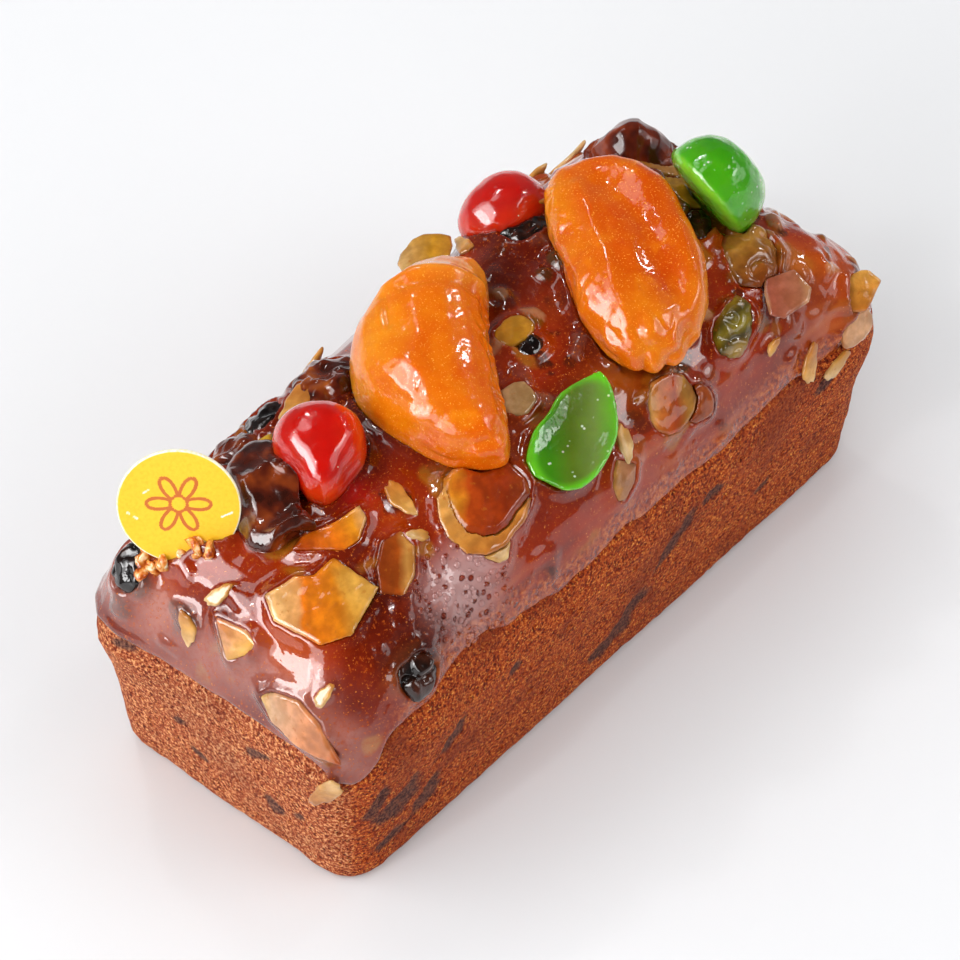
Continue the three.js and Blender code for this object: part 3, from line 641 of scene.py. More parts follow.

# %% Colour of the glaze: what lies under it shows through as irregular patches, with painted shade round the big fruit
broad_tone = 0.5 + 0.5 * rough_noise(top, 13, 47, 3)
syrup_stops = [(0.0, "#4C0C00"), (0.4, "#781A00"), (0.7, "#942802"), (1.0, "#A63E08")]
syrup_tones = shades(broad_tone, syrup_stops)
blob = (1 - smooth_step(lump_away, 2.4, 3.4)) * inside_edge
pale_blobs = shades(lump, [(0, "#B0701C"), (0.3, "#8A4A0C")])
dark_blobs = shades(lump, [(0.78, "#1C0804"), (1, "#340E04")])
syrup_tones = lay_over(syrup_tones, pale_blobs, 0.75 * blob * (lump < 0.3))
syrup_tones = lay_over(syrup_tones, dark_blobs, 0.8 * blob * (lump > 0.78))
flecked = (1 - smooth_step(fleck_away, 1.7, 2.2)) * crowded * inside_edge
fleck_stops = [
    (0.2, "#240A04"), (0.35, "#5E4810"), (0.5, "#A8641A"),
    (0.65, "#4A1A10"), (0.8, "#8A4C3C"), (1, "#D0A070"),
]
syrup_tones = lay_over(syrup_tones, shades(fleck, fleck_stops), 0.8 * flecked)
# Painted shade: the glaze is drawn darker close round the apricots and cherries.
BIG_FRUIT = [name for name in nodes if name.startswith(("apricot", "cherry"))]
beside_fruit = distance_to(search_tree(*BIG_FRUIT), top, 7.0)
syrup_tones *= (0.6 + 0.4 * smooth_step(beside_fruit, 0.5, 6.5))[:, None]

# %% Where the glaze took up the colour of what lies beside it, and a painted red glow by the near red cherry
# Each stain, and the painted glow: its place in mm, its reach in mm, and its darkest and lightest tone.
STAINS_AND_GLOW = [
    # The second entry on the next line is no stain: it is a painted red glow, where light comes through the
    # near red cherry.
    ((-28, 2, 64), 7, "#340604", "#5A1006"), ((-40, -3, 63), 3.5, "#9A0A04", "#CC1404"),
    ((13, -18, 60), 5.5, "#9A3A08", "#D07422"),
    ((55, -30, 50), 6.5, "#9A3A14", "#BC5A24"), ((58, -24, 57), 4, "#7A2A0A", "#B05A1C"),
    ((56, 0, 62), 5, "#5A4A08", "#A07A18"), ((13, 10, 62), 10, "#360A04", "#641C06"),
    ((-53, -29, 53), 7, "#280A06", "#7A2A10"),
]
stained = np.zeros(len(top))
for spot, reach, darkest, lightest in STAINS_AND_GLOW:
    share = 0.8 * np.exp(-((np.linalg.norm(top - np.array(spot, float), axis=1) / reach) ** 2))
    syrup_tones = lay_over(syrup_tones, shades(broad_tone, [(0.2, darkest), (0.8, lightest)]), share)
    stained = np.maximum(stained, share)
print(round(100 * (stained > 0.4).mean(), 1), "% of the glaze is stained")

# %% Painted reflection at the near end, painted shade at the foot of each piece, streaks of runs and painted sheen on the long sides, and where the foam and crumbs lie
# Painted reflection: a pale mauve sheen on the near end of the glaze, where the big soft light shows in it.
end_reflection = 0.4 * smooth_step(-top[:, 0], 60, 69) * (1 - smooth_step(run_down, 9, 17))
syrup_tones = lay_over(syrup_tones, shades(broad_tone, [(0.2, "#6E3A34"), (0.8, "#B49084")]), end_reflection)
# Painted shade: the glaze is drawn a little darker at the foot of everything that stands in it.
syrup_tones *= (0.8 + 0.2 * smooth_step(beside, 0.2, 2.2))[:, None]
# Light and dark streaks along the long shoulders: partly runs in the thin glaze and partly painted sheen of
# the soft light.
streaks = 0.5 + 0.5 * value_noise(stretched(top, 0, 9.0, 1.0), 1.6, 58)
shoulder = long_side * smooth_step(run_down, 1, 4) * (1 - smooth_step(run_down, 8, 13))
streak_sheen_tones = shades(streaks, [(0.3, "#B4622E"), (0.55, "#4C241E")])
syrup_tones = lay_over(syrup_tones, streak_sheen_tones, 0.6 * shoulder * np.abs(2 * streaks - 1))
store_colour(glaze, syrup_tones)
store(glaze, "stained", stained)
foam_place = np.exp(-(((top[:, 0] + 37) / 12) ** 2 + ((top[:, 1] + 26) / 6.5) ** 2))
store(glaze, "foam", 1.1 * foam_place + 0.16 * smooth_step(value_noise(top, 16, 52), 0.3, 0.8))
TORN_LINE = [(-69.0, 19.0), (-66.5, 15.5), (-62.0, 10.5)]
store(glaze, "crumbs", np.exp(-((near_path(top, TORN_LINE) / 2.2) ** 2)))
store(glaze, "thin", long_side * (1 - smooth_step(run_down - 2.5 * streaks, 0.5, 5.0)))
print(len(glaze.data.attributes), "attributes on the glaze")

# %% Apricot glaze: clear and wet, deep red brown over the crust, golden where it is thick
# The bubbles in it are partly finer. Their specks are drawn 0.5 mm across, so that they show.
wet, tree, shader, place = new_material("apricot_glaze")
painted = add(tree, ATTRIBUTE, PAINT)
broad = add(tree, NOISE, Vector=place, Scale=per_mm(11), Detail=3)
fine = add(tree, NOISE, Vector=place, Scale=per_mm(1.0), Detail=3, Roughness=0.6)
red_brown = add(tree, RAMP, {"stops": [(0.35, "#701A00"), (0.7, "#A03808")]}, Fac=broad)
mottled = add(tree, RANGE, SMOOTH, Value=fine, From_Min=0.42, From_Max=0.70)
syrup = add(tree, MIX, COLOUR, _0=mottled, _6=painted, _7=red_brown)
syrup = add(tree, MIX, COLOUR, _0=0.35, _6=painted, _7=syrup)
crumbs_below = add(tree, NOISE, Vector=place, Scale=per_mm(0.7), Detail=3, Roughness=0.7)
amber = add(tree, RANGE, SMOOTH, Value=crumbs_below, From_Min=0.56, From_Max=0.70)
syrup = add(tree, MIX, COLOUR, _0=amber, _6=syrup, _7=linear("#A84812"))
tiny_bubbles = add(tree, NOISE, Vector=place, Scale=per_mm(0.5), Detail=1)
gold = add(tree, RANGE, SMOOTH, Value=tiny_bubbles, From_Min=0.69, From_Max=0.77)
syrup = add(tree, MIX, COLOUR, _0=gold, _6=syrup, _7=linear("#C8702C"))
# The stains, and the painted red glow by the cherry, as stored on the mesh.
stain_and_glow_share = add(tree, ATTRIBUTE, {"attribute_name": "stained"}).outputs["Fac"]
syrup = add(tree, MIX, COLOUR, _0=stain_and_glow_share, _6=syrup, _7=painted)
thin = add(tree, ATTRIBUTE, {"attribute_name": "thin"}).outputs["Fac"]
thin_stops = [(0.36, "#681C08"), (0.5, "#96380E"), (0.64, "#B85E22")]
syrup = add(tree, MIX, COLOUR, _0=thin, _6=syrup, _7=add(tree, RAMP, {"stops": thin_stops}, Fac=fine))
foamy = add(tree, ATTRIBUTE, {"attribute_name": "foam"}).outputs["Fac"]
cells = add(tree, VORONOI, Vector=place, Scale=per_mm(2.1))
between = add(tree, RANGE, SMOOTH, Value=cells, From_Min=0.22, From_Max=0.34)
much_foam = add(tree, RANGE, SMOOTH, Value=foamy, From_Min=0.25, From_Max=1.3)
# The milky mauve between the foam's domes is partly the froth's own pale colour and partly a painted
# reflection of the soft light.
foam_sheen = add(tree, MATH, TIMES, _0=between, _1=much_foam)
syrup = add(tree, MIX, COLOUR, _0=foam_sheen, _6=syrup, _7=linear("#B48C88"))

# %% Relief of the glaze: slow ripples in the coat, domes in the foam, and crumbs where it is thin
ripple = add(tree, NOISE, Vector=place, Scale=per_mm(4.0))
small_ripple = add(tree, NOISE, Vector=place, Scale=per_mm(1.7))
domes = add(tree, RANGE, SMOOTH, Value=cells, From_Min=0.34, From_Max=0.12)
foam = add(tree, MATH, TIMES, _0=domes, _1=foamy)
crumbly = add(tree, MATH, TIMES, _0=fine, _1=thin)
smooth_top = add(tree, BUMP, Height=small_ripple, Distance=0.035 * MM)
smooth_top = add(tree, BUMP, Height=ripple, Distance=0.12 * MM, Normal=smooth_top)
smooth_top = add(tree, BUMP, Height=foam, Distance=0.55 * MM, Normal=smooth_top)
smooth_top = add(tree, BUMP, Height=crumbly, Distance=0.3 * MM, Normal=smooth_top)
under_coat = add(tree, BUMP, Height=fine, Distance=0.12 * MM, Normal=smooth_top)
wire(tree, shader, Base_Color=syrup, Roughness=0.22, Specular_IOR_Level=0.08, IOR=1.46, Normal=under_coat)
wire(tree, shader, Coat_Weight=1.0, Coat_Roughness=0.035, Coat_IOR=1.5, Coat_Normal=smooth_top)
finish_piece(glaze, wet, "crust")
print(len(tree.nodes), "nodes in the glaze")


# %% [markdown]
# ## Candied apricots
# Two halves of candied apricot lie across the top. The near one lies with its skin up, folded
# over itself, with a torn edge on one side. The far one lies open, so that its hollow shows, and its
# end is frayed. Boiling in syrup makes the flesh translucent, so light enters it and comes out
# again a few millimetres on, deep orange in the thick parts and golden at the thin rims.

# %% Shared tools for the fruit
def folded(points, size, seed):
    """Shrunken skin: plump folds with sharp creases between them, about -1 to 1."""
    return 3 * np.abs(value_noise(points, size, seed)) - 1


def across_box(points, heading_deg):
    """-1 at one end of the piece and 1 at the other, measured level along a heading."""
    turn = math.radians(heading_deg)
    run = points[:, 0] * math.cos(turn) + points[:, 1] * math.sin(turn)
    middle = (run.max() + run.min()) / 2
    return (run - middle) / max((run.max() - run.min()) / 2, 1e-6)


def ridge(points, normals, path, width, height):
    """Height in mm of a rounded ridge along a path on the upper side; below zero it is a groove."""
    return height * np.exp(-((near_path(points, path) / width) ** 2)) * smooth_step(normals[:, 2], -0.2, 0.3)


def rim_share(points):
    """0 at the middle of a flat piece and 1 at its rim, from the piece's own long and short axes."""
    centred = points - points.mean(axis=0)
    _, axes = np.linalg.eigh(centred.T @ centred)
    across, along = centred @ axes[:, 1], centred @ axes[:, 2]
    return np.hypot(across / np.abs(across).max(), along / np.abs(along).max())


# %% Candied fruit: deep, glowing colour under sharp wet reflections
def wet_fruit(name, colour_of, subsurface, radius_mm, roughness, ripple, coat=1.0, grain=0):
    """Light scatters inside it, under a clear wet coat. colour_of builds its colour, radius_mm is how
    far red, green and blue light spread, and ripple is the size and depth in mm of waves in the coat."""
    material, tree, shader, place = new_material(name)
    ripple_mm, ripple_depth = ripple
    waves = add(tree, NOISE, Vector=place, Scale=per_mm(ripple_mm))
    ripples = add(tree, BUMP, Height=waves, Distance=ripple_depth * MM)
    if grain:
        grit = add(tree, NOISE, Vector=place, Scale=per_mm(0.9), Detail=3, Roughness=0.6)
        ripples = add(tree, BUMP, Height=grit, Distance=grain * MM, Normal=ripples)
    flesh = add(tree, NOISE, Vector=place, Scale=per_mm(0.7))
    under_coat = add(tree, BUMP, Height=flesh, Distance=0.08 * MM, Normal=ripples)
    wire(tree, shader, Base_Color=colour_of(tree, place), Roughness=roughness, Normal=under_coat)
    wire(tree, shader, Subsurface_Weight=subsurface, Subsurface_Scale=1.0)
    wire(tree, shader, Subsurface_Radius=[r * MM for r in radius_mm], Specular_IOR_Level=0.08, IOR=1.46)
    wire(tree, shader, Coat_Weight=coat, Coat_Roughness=0.03, Coat_Normal=ripples)
    return material


def apricot_colour(tree, place):
    cloud = add(tree, NOISE, Vector=place, Scale=per_mm(6), Detail=3)
    golden = add(tree, RANGE, SMOOTH, Value=cloud, From_Min=0.52, From_Max=0.85)
    flesh = add(tree, MIX, COLOUR, _0=golden, _6=add(tree, ATTRIBUTE, PAINT), _7=linear("#E48C10"))
    thick = add(tree, NOISE, Vector=place, Scale=per_mm(8), Detail=4, Roughness=0.6)
    depth = add(tree, RAMP, {"stops": [(0.38, "#FFFAF0"), (0.68, "#F4C88C")]}, Fac=thick)
    flesh = add(tree, MIX, TINT, _0=1.0, _6=flesh, _7=depth)
    speck = add(tree, NOISE, Vector=place, Scale=per_mm(0.36), Roughness=0.7)
    specks = add(tree, RANGE, SMOOTH, Value=speck, From_Min=0.60, From_Max=0.70)
    return add(tree, MIX, COLOUR, _0=specks, _6=flesh, _7=linear("#EEA03A"))


APRICOT_GLOW = (2.4, 0.8, 0.12)
candied_apricot = wet_fruit(
    "candied_apricot", apricot_colour, 0.45, APRICOT_GLOW, 0.25, (2.4, 0.13), coat=0.75, grain=0.025
)
print("light spreads", APRICOT_GLOW[0], "mm through the apricots")

# %% The near apricot, skin up: the top is folded back, the right side torn, the low end wrinkled
NEAR_HEADING = 49
near_half = even_skin(copy_of("apricot_front", "apricot_near"), voxel_mm=0.36, smoothing=30)
points, normals = points_of(near_half), normals_of(near_half)
right_side = near_path(points, [(1.5, 3.5), (-5.5, -4), (-10, -8.5), (-10.5, -12)])
low_end = smooth_step(-points[:, 0] - points[:, 1], 24, 38)
long_folds = stretched(points, NEAR_HEADING, 3.0, 1.0)
relief = 0.3 * rough_noise(points, 10, 61, 2)
relief += ridge(points, normals, [(-9, 17), (-4.5, 14.5), (0, 10), (4, 6.5)], 1.2, 0.8)
relief += ridge(points, normals, [(-8, 13.5), (-3, 10), (1, 5.5)], 1.0, -0.45)
relief += ridge(points, normals, [(-11, 15.5), (-13, 13.5), (-15.5, 10.5)], 0.9, -0.45)
relief += 0.25 * np.exp(-((right_side / 1.6) ** 2)) * folded(warped(points, 3, 1, 60), 2.2, 62)
relief += low_end * (0.3 * folded(warped(stretched(points, -20, 2.0, 1.0), 4, 1, 59), 4.5, 63) + 0.15)
relief += 0.10 * value_noise(long_folds, 2.4, 64) + 0.03 * value_noise(points, 1.1, 65)
push(near_half, relief)
points = points_of(near_half)
near_stops = [(-1, "#DE8E1C"), (-0.45, "#DC7E0C"), (0.2, "#D86E06"), (0.7, "#DA6A04"), (1, "#DE7408")]
near_tones = shades(across_box(points, -45) + 0.12 * value_noise(points, 7, 67), near_stops)
# Painted highlight: the folded-over top is drawn a lighter gold.
near_tones = lay_over(near_tones, rgb("#E09A34"), 0.7 * smooth_step(points[:, 0] + points[:, 1], 4, 12))
store_colour(near_half, near_tones)
finish_piece(near_half, candied_apricot, "apricot", "apricot_front")
print("folds from", round(relief.min(), 2), "to", round(relief.max(), 2), "mm")

# %% The far apricot, hollow up: a rolled rim on both sides, a channel down the middle, a frayed end
far_half = even_skin(copy_of("apricot_back", "apricot_far"), voxel_mm=0.36, smoothing=30)
points, normals = points_of(far_half), normals_of(far_half)
LEFT_RIM = [(38, 16), (32, 14.5), (27.5, 10), (23, 2.5), (19.5, -4), (17, -8)]
RIGHT_RIM = [(41, 13), (44, 6), (44.5, -1), (41, -10), (37, -16), (31, -23)]
CHANNEL = [(38, 6), (36, -3), (32.5, -11), (28.5, -19), (25.5, -24)]
INNER_RIDGE = [(34, 9.5), (29, 2), (25.5, -4.5), (22, -9), (17, -17)]
frayed = smooth_step(-points[:, 0] - points[:, 1], -6, 4)
relief = 0.35 * rough_noise(points, 9, 66, 2)
relief += ridge(points, normals, LEFT_RIM, 2.4, 0.9) + ridge(points, normals, RIGHT_RIM, 2.4, 0.7)
relief += ridge(points, normals, CHANNEL, 3.4, -1.3) + ridge(points, normals, INNER_RIDGE, 1.6, 0.6)
left_rim = np.exp(-((near_path(points, LEFT_RIM) / 2.0) ** 2))
relief += 0.15 * left_rim * folded(warped(points, 3, 1, 60), 2.4, 68)
relief += frayed * (0.4 * folded(warped(stretched(points, 58, 2.6, 1.0), 3, 0.8, 59), 3.4, 70) + 0.1)
relief += 0.12 * value_noise(stretched(points, 58, 3.0, 1.0), 2.2, 69) + 0.03 * value_noise(points, 1.1, 71)
push(far_half, relief)
points = points_of(far_half)
far_stops = [
    (-1, "#D88414"), (-0.62, "#D46E08"), (-0.25, "#CA5A02"),
    (0.4, "#C24E00"), (0.75, "#C85C02"), (1, "#DA821C"),
]
far_tones = shades(across_box(points, -45) + 0.15 * value_noise(points, 6, 72), far_stops)
far_tones = lay_over(far_tones, rgb("#DE8210"), 0.7 * smooth_step(-points[:, 0] - points[:, 1], -14, 0))
store_colour(far_half, far_tones)
finish_piece(far_half, candied_apricot, "apricot", "apricot_back")
print("rims and channel from", round(relief.min(), 2), "to", round(relief.max(), 2), "mm")


# %% [markdown]
# ## Glacé cherries
# Two red and two green halves. Glacé cherries are nearly clear: they are brightest at thin edges and
# deepest through the middle, so part of the light goes through them and part is scattered inside.

# %% Glacé cherries: clear, saturated flesh with a brighter edge painted as a glow, and a few white dots painted as glints
def cherry_colour(edge, glint_radius):
    def build(tree, place):
        waves = add(tree, NOISE, Vector=place, Scale=per_mm(6))
        cloud = add(tree, MIX, COLOUR, _0=waves, _6=linear("#C8C8C8"), _7=linear("#FFFFFF"))
        body = add(tree, MIX, TINT, _0=1.0, _6=add(tree, ATTRIBUTE, PAINT), _7=cloud)
        # Painted glints: small white dots in a few patches.
        glint_cells = add(tree, VORONOI, Vector=place, Scale=per_mm(1.5))
        dots = add(tree, RANGE, SMOOTH, Value=glint_cells, From_Min=glint_radius, From_Max=0.06)
        where = add(tree, NOISE, Vector=place, Scale=per_mm(4))
        patches = add(tree, RANGE, SMOOTH, Value=where, From_Min=0.5, From_Max=0.6)
        painted_glints = add(tree, MATH, TIMES, _0=dots, _1=patches)
        body = add(tree, MIX, COLOUR, _0=painted_glints, _6=body, _7=linear("#F0F4DC"))
        # Painted glow: where the surface is seen edge on, it is drawn in the bright edge colour, as light
        # comes through thin flesh.
        facing = add(tree, "ShaderNodeLayerWeight", Blend=0.35).outputs["Facing"]
        edge_glow = add(tree, RANGE, SMOOTH, Value=facing, From_Min=0.45, From_Max=0.98)
        return add(tree, MIX, COLOUR, _0=edge_glow, _6=body, _7=linear(edge))

    return build


def glace(name, edge, glint_radius, radius_mm, ripple):
    material = wet_fruit(name, cherry_colour(edge, glint_radius), 0.6, radius_mm, 0.15, ripple)
    material.node_tree.nodes["Principled BSDF"].inputs["Transmission Weight"].default_value = 0.3
    return material


red_glace = glace("red_glace_cherry", "#FF3C0C", 0.11, (5.0, 0.5, 0.2), (5.0, 0.12))
green_glace = glace("green_glace_cherry", "#8CE828", 0.22, (1.0, 4.0, 0.2), (2.4, 0.26))

# %% Four halves: the heading each colour runs along, its stops, and what its rim turns to, a painted glow
CHERRIES = {
    # The near red half runs to a brighter orange on one side: a painted glow where light comes through it.
    "cherry_red_front": (
        -45, [(-1, "#E41A06"), (0.2, "#EA1204"), (0.75, "#FA2C08"), (1, "#FF7020")], "#FF4A14",
    ),
    "cherry_red_back": (45, [(-1, "#E83428"), (0, "#E01204"), (1, "#FF2A08")], "#FF3A14"),
    "cherry_green_front": (
        -45, [(-1, "#58B414"), (-0.5, "#4A9A10"), (0.0, "#6E8C22"), (0.5, "#88A44C"),
        (1, "#74C82C")], "#7CE428",
    ),
    "cherry_green_back": (-45, [(-1, "#3E8A08"), (-0.2, "#44AC0C"), (1, "#52BC10")], "#5CC814"),
}
KINDS = {"red": (red_glace, "red_cherry", 70), "green": (green_glace, "green_cherry", 40)}
CUT_FACING = np.array([-0.879, 0.219, -0.423])  # which way the cut side of the far green half faces
for seed, (node, (heading_deg, stops, rim_colour)) in enumerate(CHERRIES.items()):
    glace_skin, slot, smoothing = KINDS[node.split("_")[1]]
    half = copy_of(node, node.replace("cherry", "glace"))
    half = even_skin(half, voxel_mm=0.36, smoothing=smoothing)
    points = points_of(half)
    push(half, 0.2 * rough_noise(points, 7, 80 + seed, 2) + 0.04 * value_noise(points, 1.6, 85 + seed) + 0.15)
    tones = shades(across_box(points, heading_deg), stops)
    # The rim is drawn brighter: partly the paler colour of the thin flesh and partly a painted glow where
    # light comes through.
    tones = lay_over(tones, rgb(rim_colour), smooth_step(rim_share(points), 0.80, 0.98))
    if node == "cherry_green_back":
        # Painted light: the cut side of the far green half is drawn bright green, as if lit through.
        lit_cut_side = smooth_step(normals_of(half) @ CUT_FACING, 0.0, 0.5)
        tones = lay_over(tones, rgb("#A0F040"), 0.8 * lit_cut_side)
    store_colour(half, tones)
    finish_piece(half, glace_skin, slot, node)
print(len(CHERRIES), "halves of glacé cherry")


# %% [markdown]
# ## Prune, fig and raisins
# These shrank as they dried, so the skin is far too big for the fruit and folds into ridges. Under
# the glaze they are almost black, and show mainly as sharp glints on plump folds.

# %% Dark dried fruit: nearly black, so that the eye finds it by its glints
def dark_fruit(name, stops, ripple_mm=1.5, coat=1.0):
    def build(tree, place):
        return add(tree, RAMP, {"stops": stops}, Fac=add(tree, NOISE, Vector=place, Scale=per_mm(4.5)))

    return wet_fruit(name, build, 0.0, (1, 1, 1), 0.25, (ripple_mm, 0.12), coat)


prune_skin = dark_fruit("wet_prune", [(0.35, "#2E0C04"), (0.5, "#4E1808"), (0.68, "#7E340E")], 2.6)
brown_skin = dark_fruit("wet_brown_raisin", [(0.34, "#380F04"), (0.5, "#66220A"), (0.67, "#9A4C14")], 2.6)
fig_skin = dark_fruit("wet_fig", [(0.3, "#3A1006"), (0.5, "#62200C"), (0.7, "#8E3A16")], 5.0, 0.55)
raisin_skin = dark_fruit("wet_raisin", [(0.38, "#0A0504"), (0.5, "#180A06"), (0.65, "#3C180A")])

# %% The prune's long folds, and the fig with its peak in the middle
prune = even_skin(copy_of("prune", "wet_prune"), voxel_mm=0.32, smoothing=6)
points = points_of(prune)
folds = warped(stretched(points, 60, 2.2, 1.0), 5, 1.5, 96)
push(prune, 0.5 - 1.4 * folded(folds, 5.0, 91) - 0.12 * folded(folds, 2.2, 93))
finish_piece(prune, prune_skin, "prune", "prune")

fig = even_skin(copy_of("fig", "wet_fig"), voxel_mm=0.32, smoothing=16)
points, normals = points_of(fig), normals_of(fig)
tent = (1.1 - 2.8 * np.abs(across_box(points, 128) + 0.1)) * smooth_step(normals[:, 2], -0.2, 0.6)
wrinkles = folded(stretched(points, 38, 2.5, 1.0), 4.0, 95)
push(fig, tent + 0.25 * rough_noise(points, 5.0, 94, 2) - 0.12 * wrinkles)
finish_piece(fig, fig_skin, "prune", "fig")
print("the fig's peak is", round(tent.max(), 2), "mm high")

# %% Raisins: each with creases of its own
BROWN_RAISINS = ("raisin_cluster", "raisin_left")
raisins = sorted(name for name in nodes if name.startswith("raisin"))
for seed, node in enumerate(raisins):
    raisin = even_skin(copy_of(node, node.replace("raisin", "currant")), voxel_mm=0.26, smoothing=8)
    points = points_of(raisin)
    creased = warped(points, 3, 1.2, 120 + seed)
    fold_depth = 0.75 if node == "raisin_side" else 0.35
    push(raisin, fold_depth * folded(creased, 4.0, 100 + seed) - 0.2 * folded(creased, 2.2, 110 + seed) + 0.2)
    if node in BROWN_RAISINS:
        finish_piece(raisin, brown_skin, "prune", node)
    else:
        finish_piece(raisin, raisin_skin, "raisin", node)
print(len(raisins), "raisins")


# %% [markdown]
# ## Flaked almonds and candied peel
# Each flake is a thin slice of a whole almond: cream flesh, stained amber by the syrup, with a line
# of brown skin at its rim. Each has its own run of colour from one end to the other.

# %% Slices: the heading its colours run along, and the colours from end to end
SLICES = {
    "almond_square": (-45, [
        (-1, "#E9B877"), (-0.45, "#E2A060"), (-0.3, "#DE740A"), (0.25, "#D27A0C"), (0.45, "#CF9436"),
        (1, "#D9A850"),
    ]),
    "almond_amber": (-20, [(-1, "#B8440A"), (0, "#DA700A"), (0.6, "#DC8C18"), (1, "#D9B078")]),
    "almond_clear": (-45, [(-1, "#7E2E06"), (0.1, "#A0480C"), (0.5, "#CC9248"), (1, "#C08034")]),
    "almond_corner": (-135, [(-1, "#B8480A"), (-0.6, "#D88A58"), (0.3, "#E2A268"), (1, "#E0A848")]),
    "almond_end": (
        -60, [(-1, "#E0B468"), (-0.6, "#D0A27C"), (0.1, "#D88C5A"), (0.75, "#C87A4A"), (1, "#BC5208")],
    ),
    "almond_light": (-90, [(-1, "#DCA238"), (0, "#DDA85A"), (1, "#E8C48C")]),
    "almond_oval": (
        -45, [(-1, "#D2A058"), (-0.5, "#C06A24"), (0.15, "#A84008"), (0.55, "#B07A2C"), (1, "#7E4A1C")],
    ),
    "almond_pair": (-45, [(-1, "#7E2E06"), (1, "#A04A0C")]),
    "almond_side": (-45, [(-1, "#B8822E"), (0, "#B47C52"), (1, "#9A6040")]),
    "almond_square_right": (-45, [(-1, "#DDB488"), (-0.75, "#A05440"), (0.5, "#A8684C"), (1, "#D0A074")]),
    "almond_tip": (45, [(-1, "#C07424"), (0, "#CE8A34"), (1, "#E0A850")]),
    "almond_end_right": (-45, [(-1, "#D9A070"), (1, "#C8905C")]),
    "almond_middle": (-45, [(-1, "#B87A14"), (0, "#C8901E"), (1, "#C48A28")]),
    "almond_ridge": (-45, [(-1, "#B89468"), (1, "#A07C50")]),
    "almond_far": (-45, [(-1, "#A86A2A"), (1, "#C08C4A")]),
    "almond_by_cherry": (-45, [(-1, "#C8901E"), (1, "#A8721A")]),
    "almond_rim": (-45, [(-1, "#C8A06A"), (0.2, "#C88E1C"), (1, "#C0842A")]),
    "almond_back_left": (0, [(-1, "#D8A65C"), (1, "#C88A38")]),
    "almond_back_right": (0, [(-1, "#CE9848"), (1, "#DDB070")]),
    "peel_front": (
        -45, [(-1, "#E8B468"), (-0.78, "#D98A1E"), (-0.45, "#B2440A"), (0.4, "#943006"), (1, "#8A3408")],
    ),
    "peel_under": (-90, [(-1, "#E2A658"), (0.3, "#D08C3C"), (1, "#B86C24")]),
    "peel_chunk": (-90, [(-1, "#7A4412"), (-0.2, "#B47C30"), (0.4, "#8A5218"), (1, "#8A4410")]),
    "peel_green": (
        -90, [(-1, "#A07C18"), (-0.4, "#544A10"), (0.1, "#8C7A1C"), (0.5, "#4A3E12"), (1, "#9A7A34")],
    ),
    "peel_strip": (45, [(-1, "#C09018"), (1, "#D0A42C")]),
}
SKIN_LINE = "#7A3408"
CRUMPLED = {"peel_green": 0.5, "peel_chunk": 0.45, "peel_strip": 0.2}  # depth of the folds in mm


# %% Candied almond: cream flesh with a soft glow, amber where the syrup soaked in
def flake_colour(tree, place):
    cloud = add(tree, NOISE, Vector=place, Scale=per_mm(2.4), Detail=3)
    share = add(tree, RANGE, SMOOTH, Value=cloud, From_Min=0.35, From_Max=0.75)
    streak = add(tree, MIX, COLOUR, _0=share, _6=linear("#D8D0C0"), _7=linear("#FFFFFF"))
    flesh = add(tree, MIX, TINT, _0=1.0, _6=add(tree, ATTRIBUTE, PAINT), _7=streak)
    soaked = add(tree, NOISE, Vector=place, Scale=per_mm(1.1), Detail=3)
    amber = add(tree, RANGE, SMOOTH, Value=soaked, From_Min=0.6, From_Max=0.85)
    return add(tree, MIX, COLOUR, _0=amber, _6=flesh, _7=linear("#A85A14"))


candied_almond = wet_fruit("candied_almond", flake_colour, 0.2, (1.6, 0.8, 0.3), 0.3, (3.0, 0.16))

# %% Shape and paint of each slice
for seed, (node, (heading_deg, stops)) in enumerate(SLICES.items()):
    kind, _, rest = node.partition("_")
    flake = copy_of(node, ("flake_" if kind == "almond" else "zest_") + rest)
    flake = even_skin(flake, voxel_mm=0.3, smoothing=2)
    points = points_of(flake)
    folds = folded(warped(points, 3.0, 1.2, 145), 3.6, 150 + seed)
    push(flake, 0.14 * rough_noise(points, 3.0, 140 + seed, 2) + CRUMPLED.get(node, 0) * folds)
    wander = 0.18 * value_noise(points, 3.0, 170 + seed)
    colours = shades(across_box(points, heading_deg) + wander, stops)
    fibres = value_noise(stretched(points, heading_deg + 90, 6.0, 1.0), 0.9, 230 + seed)
    colours *= (1 + 0.16 * fibres)[:, None]
    skin_line = smooth_step(rim_share(points) + 0.06 * value_noise(points, 2.0, 200 + seed), 0.93, 1.0)
    store_colour(flake, lay_over(colours, rgb(SKIN_LINE), 0.35 * skin_line))
    finish_piece(flake, candied_almond, kind if kind == "peel" else "almond", node)
print(len(SLICES), "slices and strips")


# %% [markdown]
# ## Slivers of almond
# Small broken slivers are stuck all over the crust. In the solid model they are part of the loaf, so
# here they get a mesh and a colour of their own, in the same places. Each is a thin pointed cushion,
# laid on the finished glaze by finding the nearest point of it.

# %% Slivers: place in mm, heading in degrees, length in mm
SLIVERS = [
    ((-71.5, 6, 49), 60, 7), ((-67.5, 2.5, 56), -30, 6), ((-69.5, -23.5, 52), 0, 5),
    ((-75, -28.5, 32.5), -108, 9.5), ((-36, -10.5, 63), 78, 8), ((-38.5, -17, 61.5), -30, 5),
    ((5.5, -27, 56), 70, 7), ((58, -34, 38), 30, 7), ((51.5, -33, 43), 60, 8), ((44, -30, 52), 20, 4),
]
HIDDEN_SLIVERS = 10
# Steps that never repeat spread the slivers of the hidden side evenly: along, down, and in length.
GOLDEN, PLASTIC, THIRD_STEP = 0.618034, 0.754878, 0.56984
GOLDEN_TURN = 137.5  # degrees

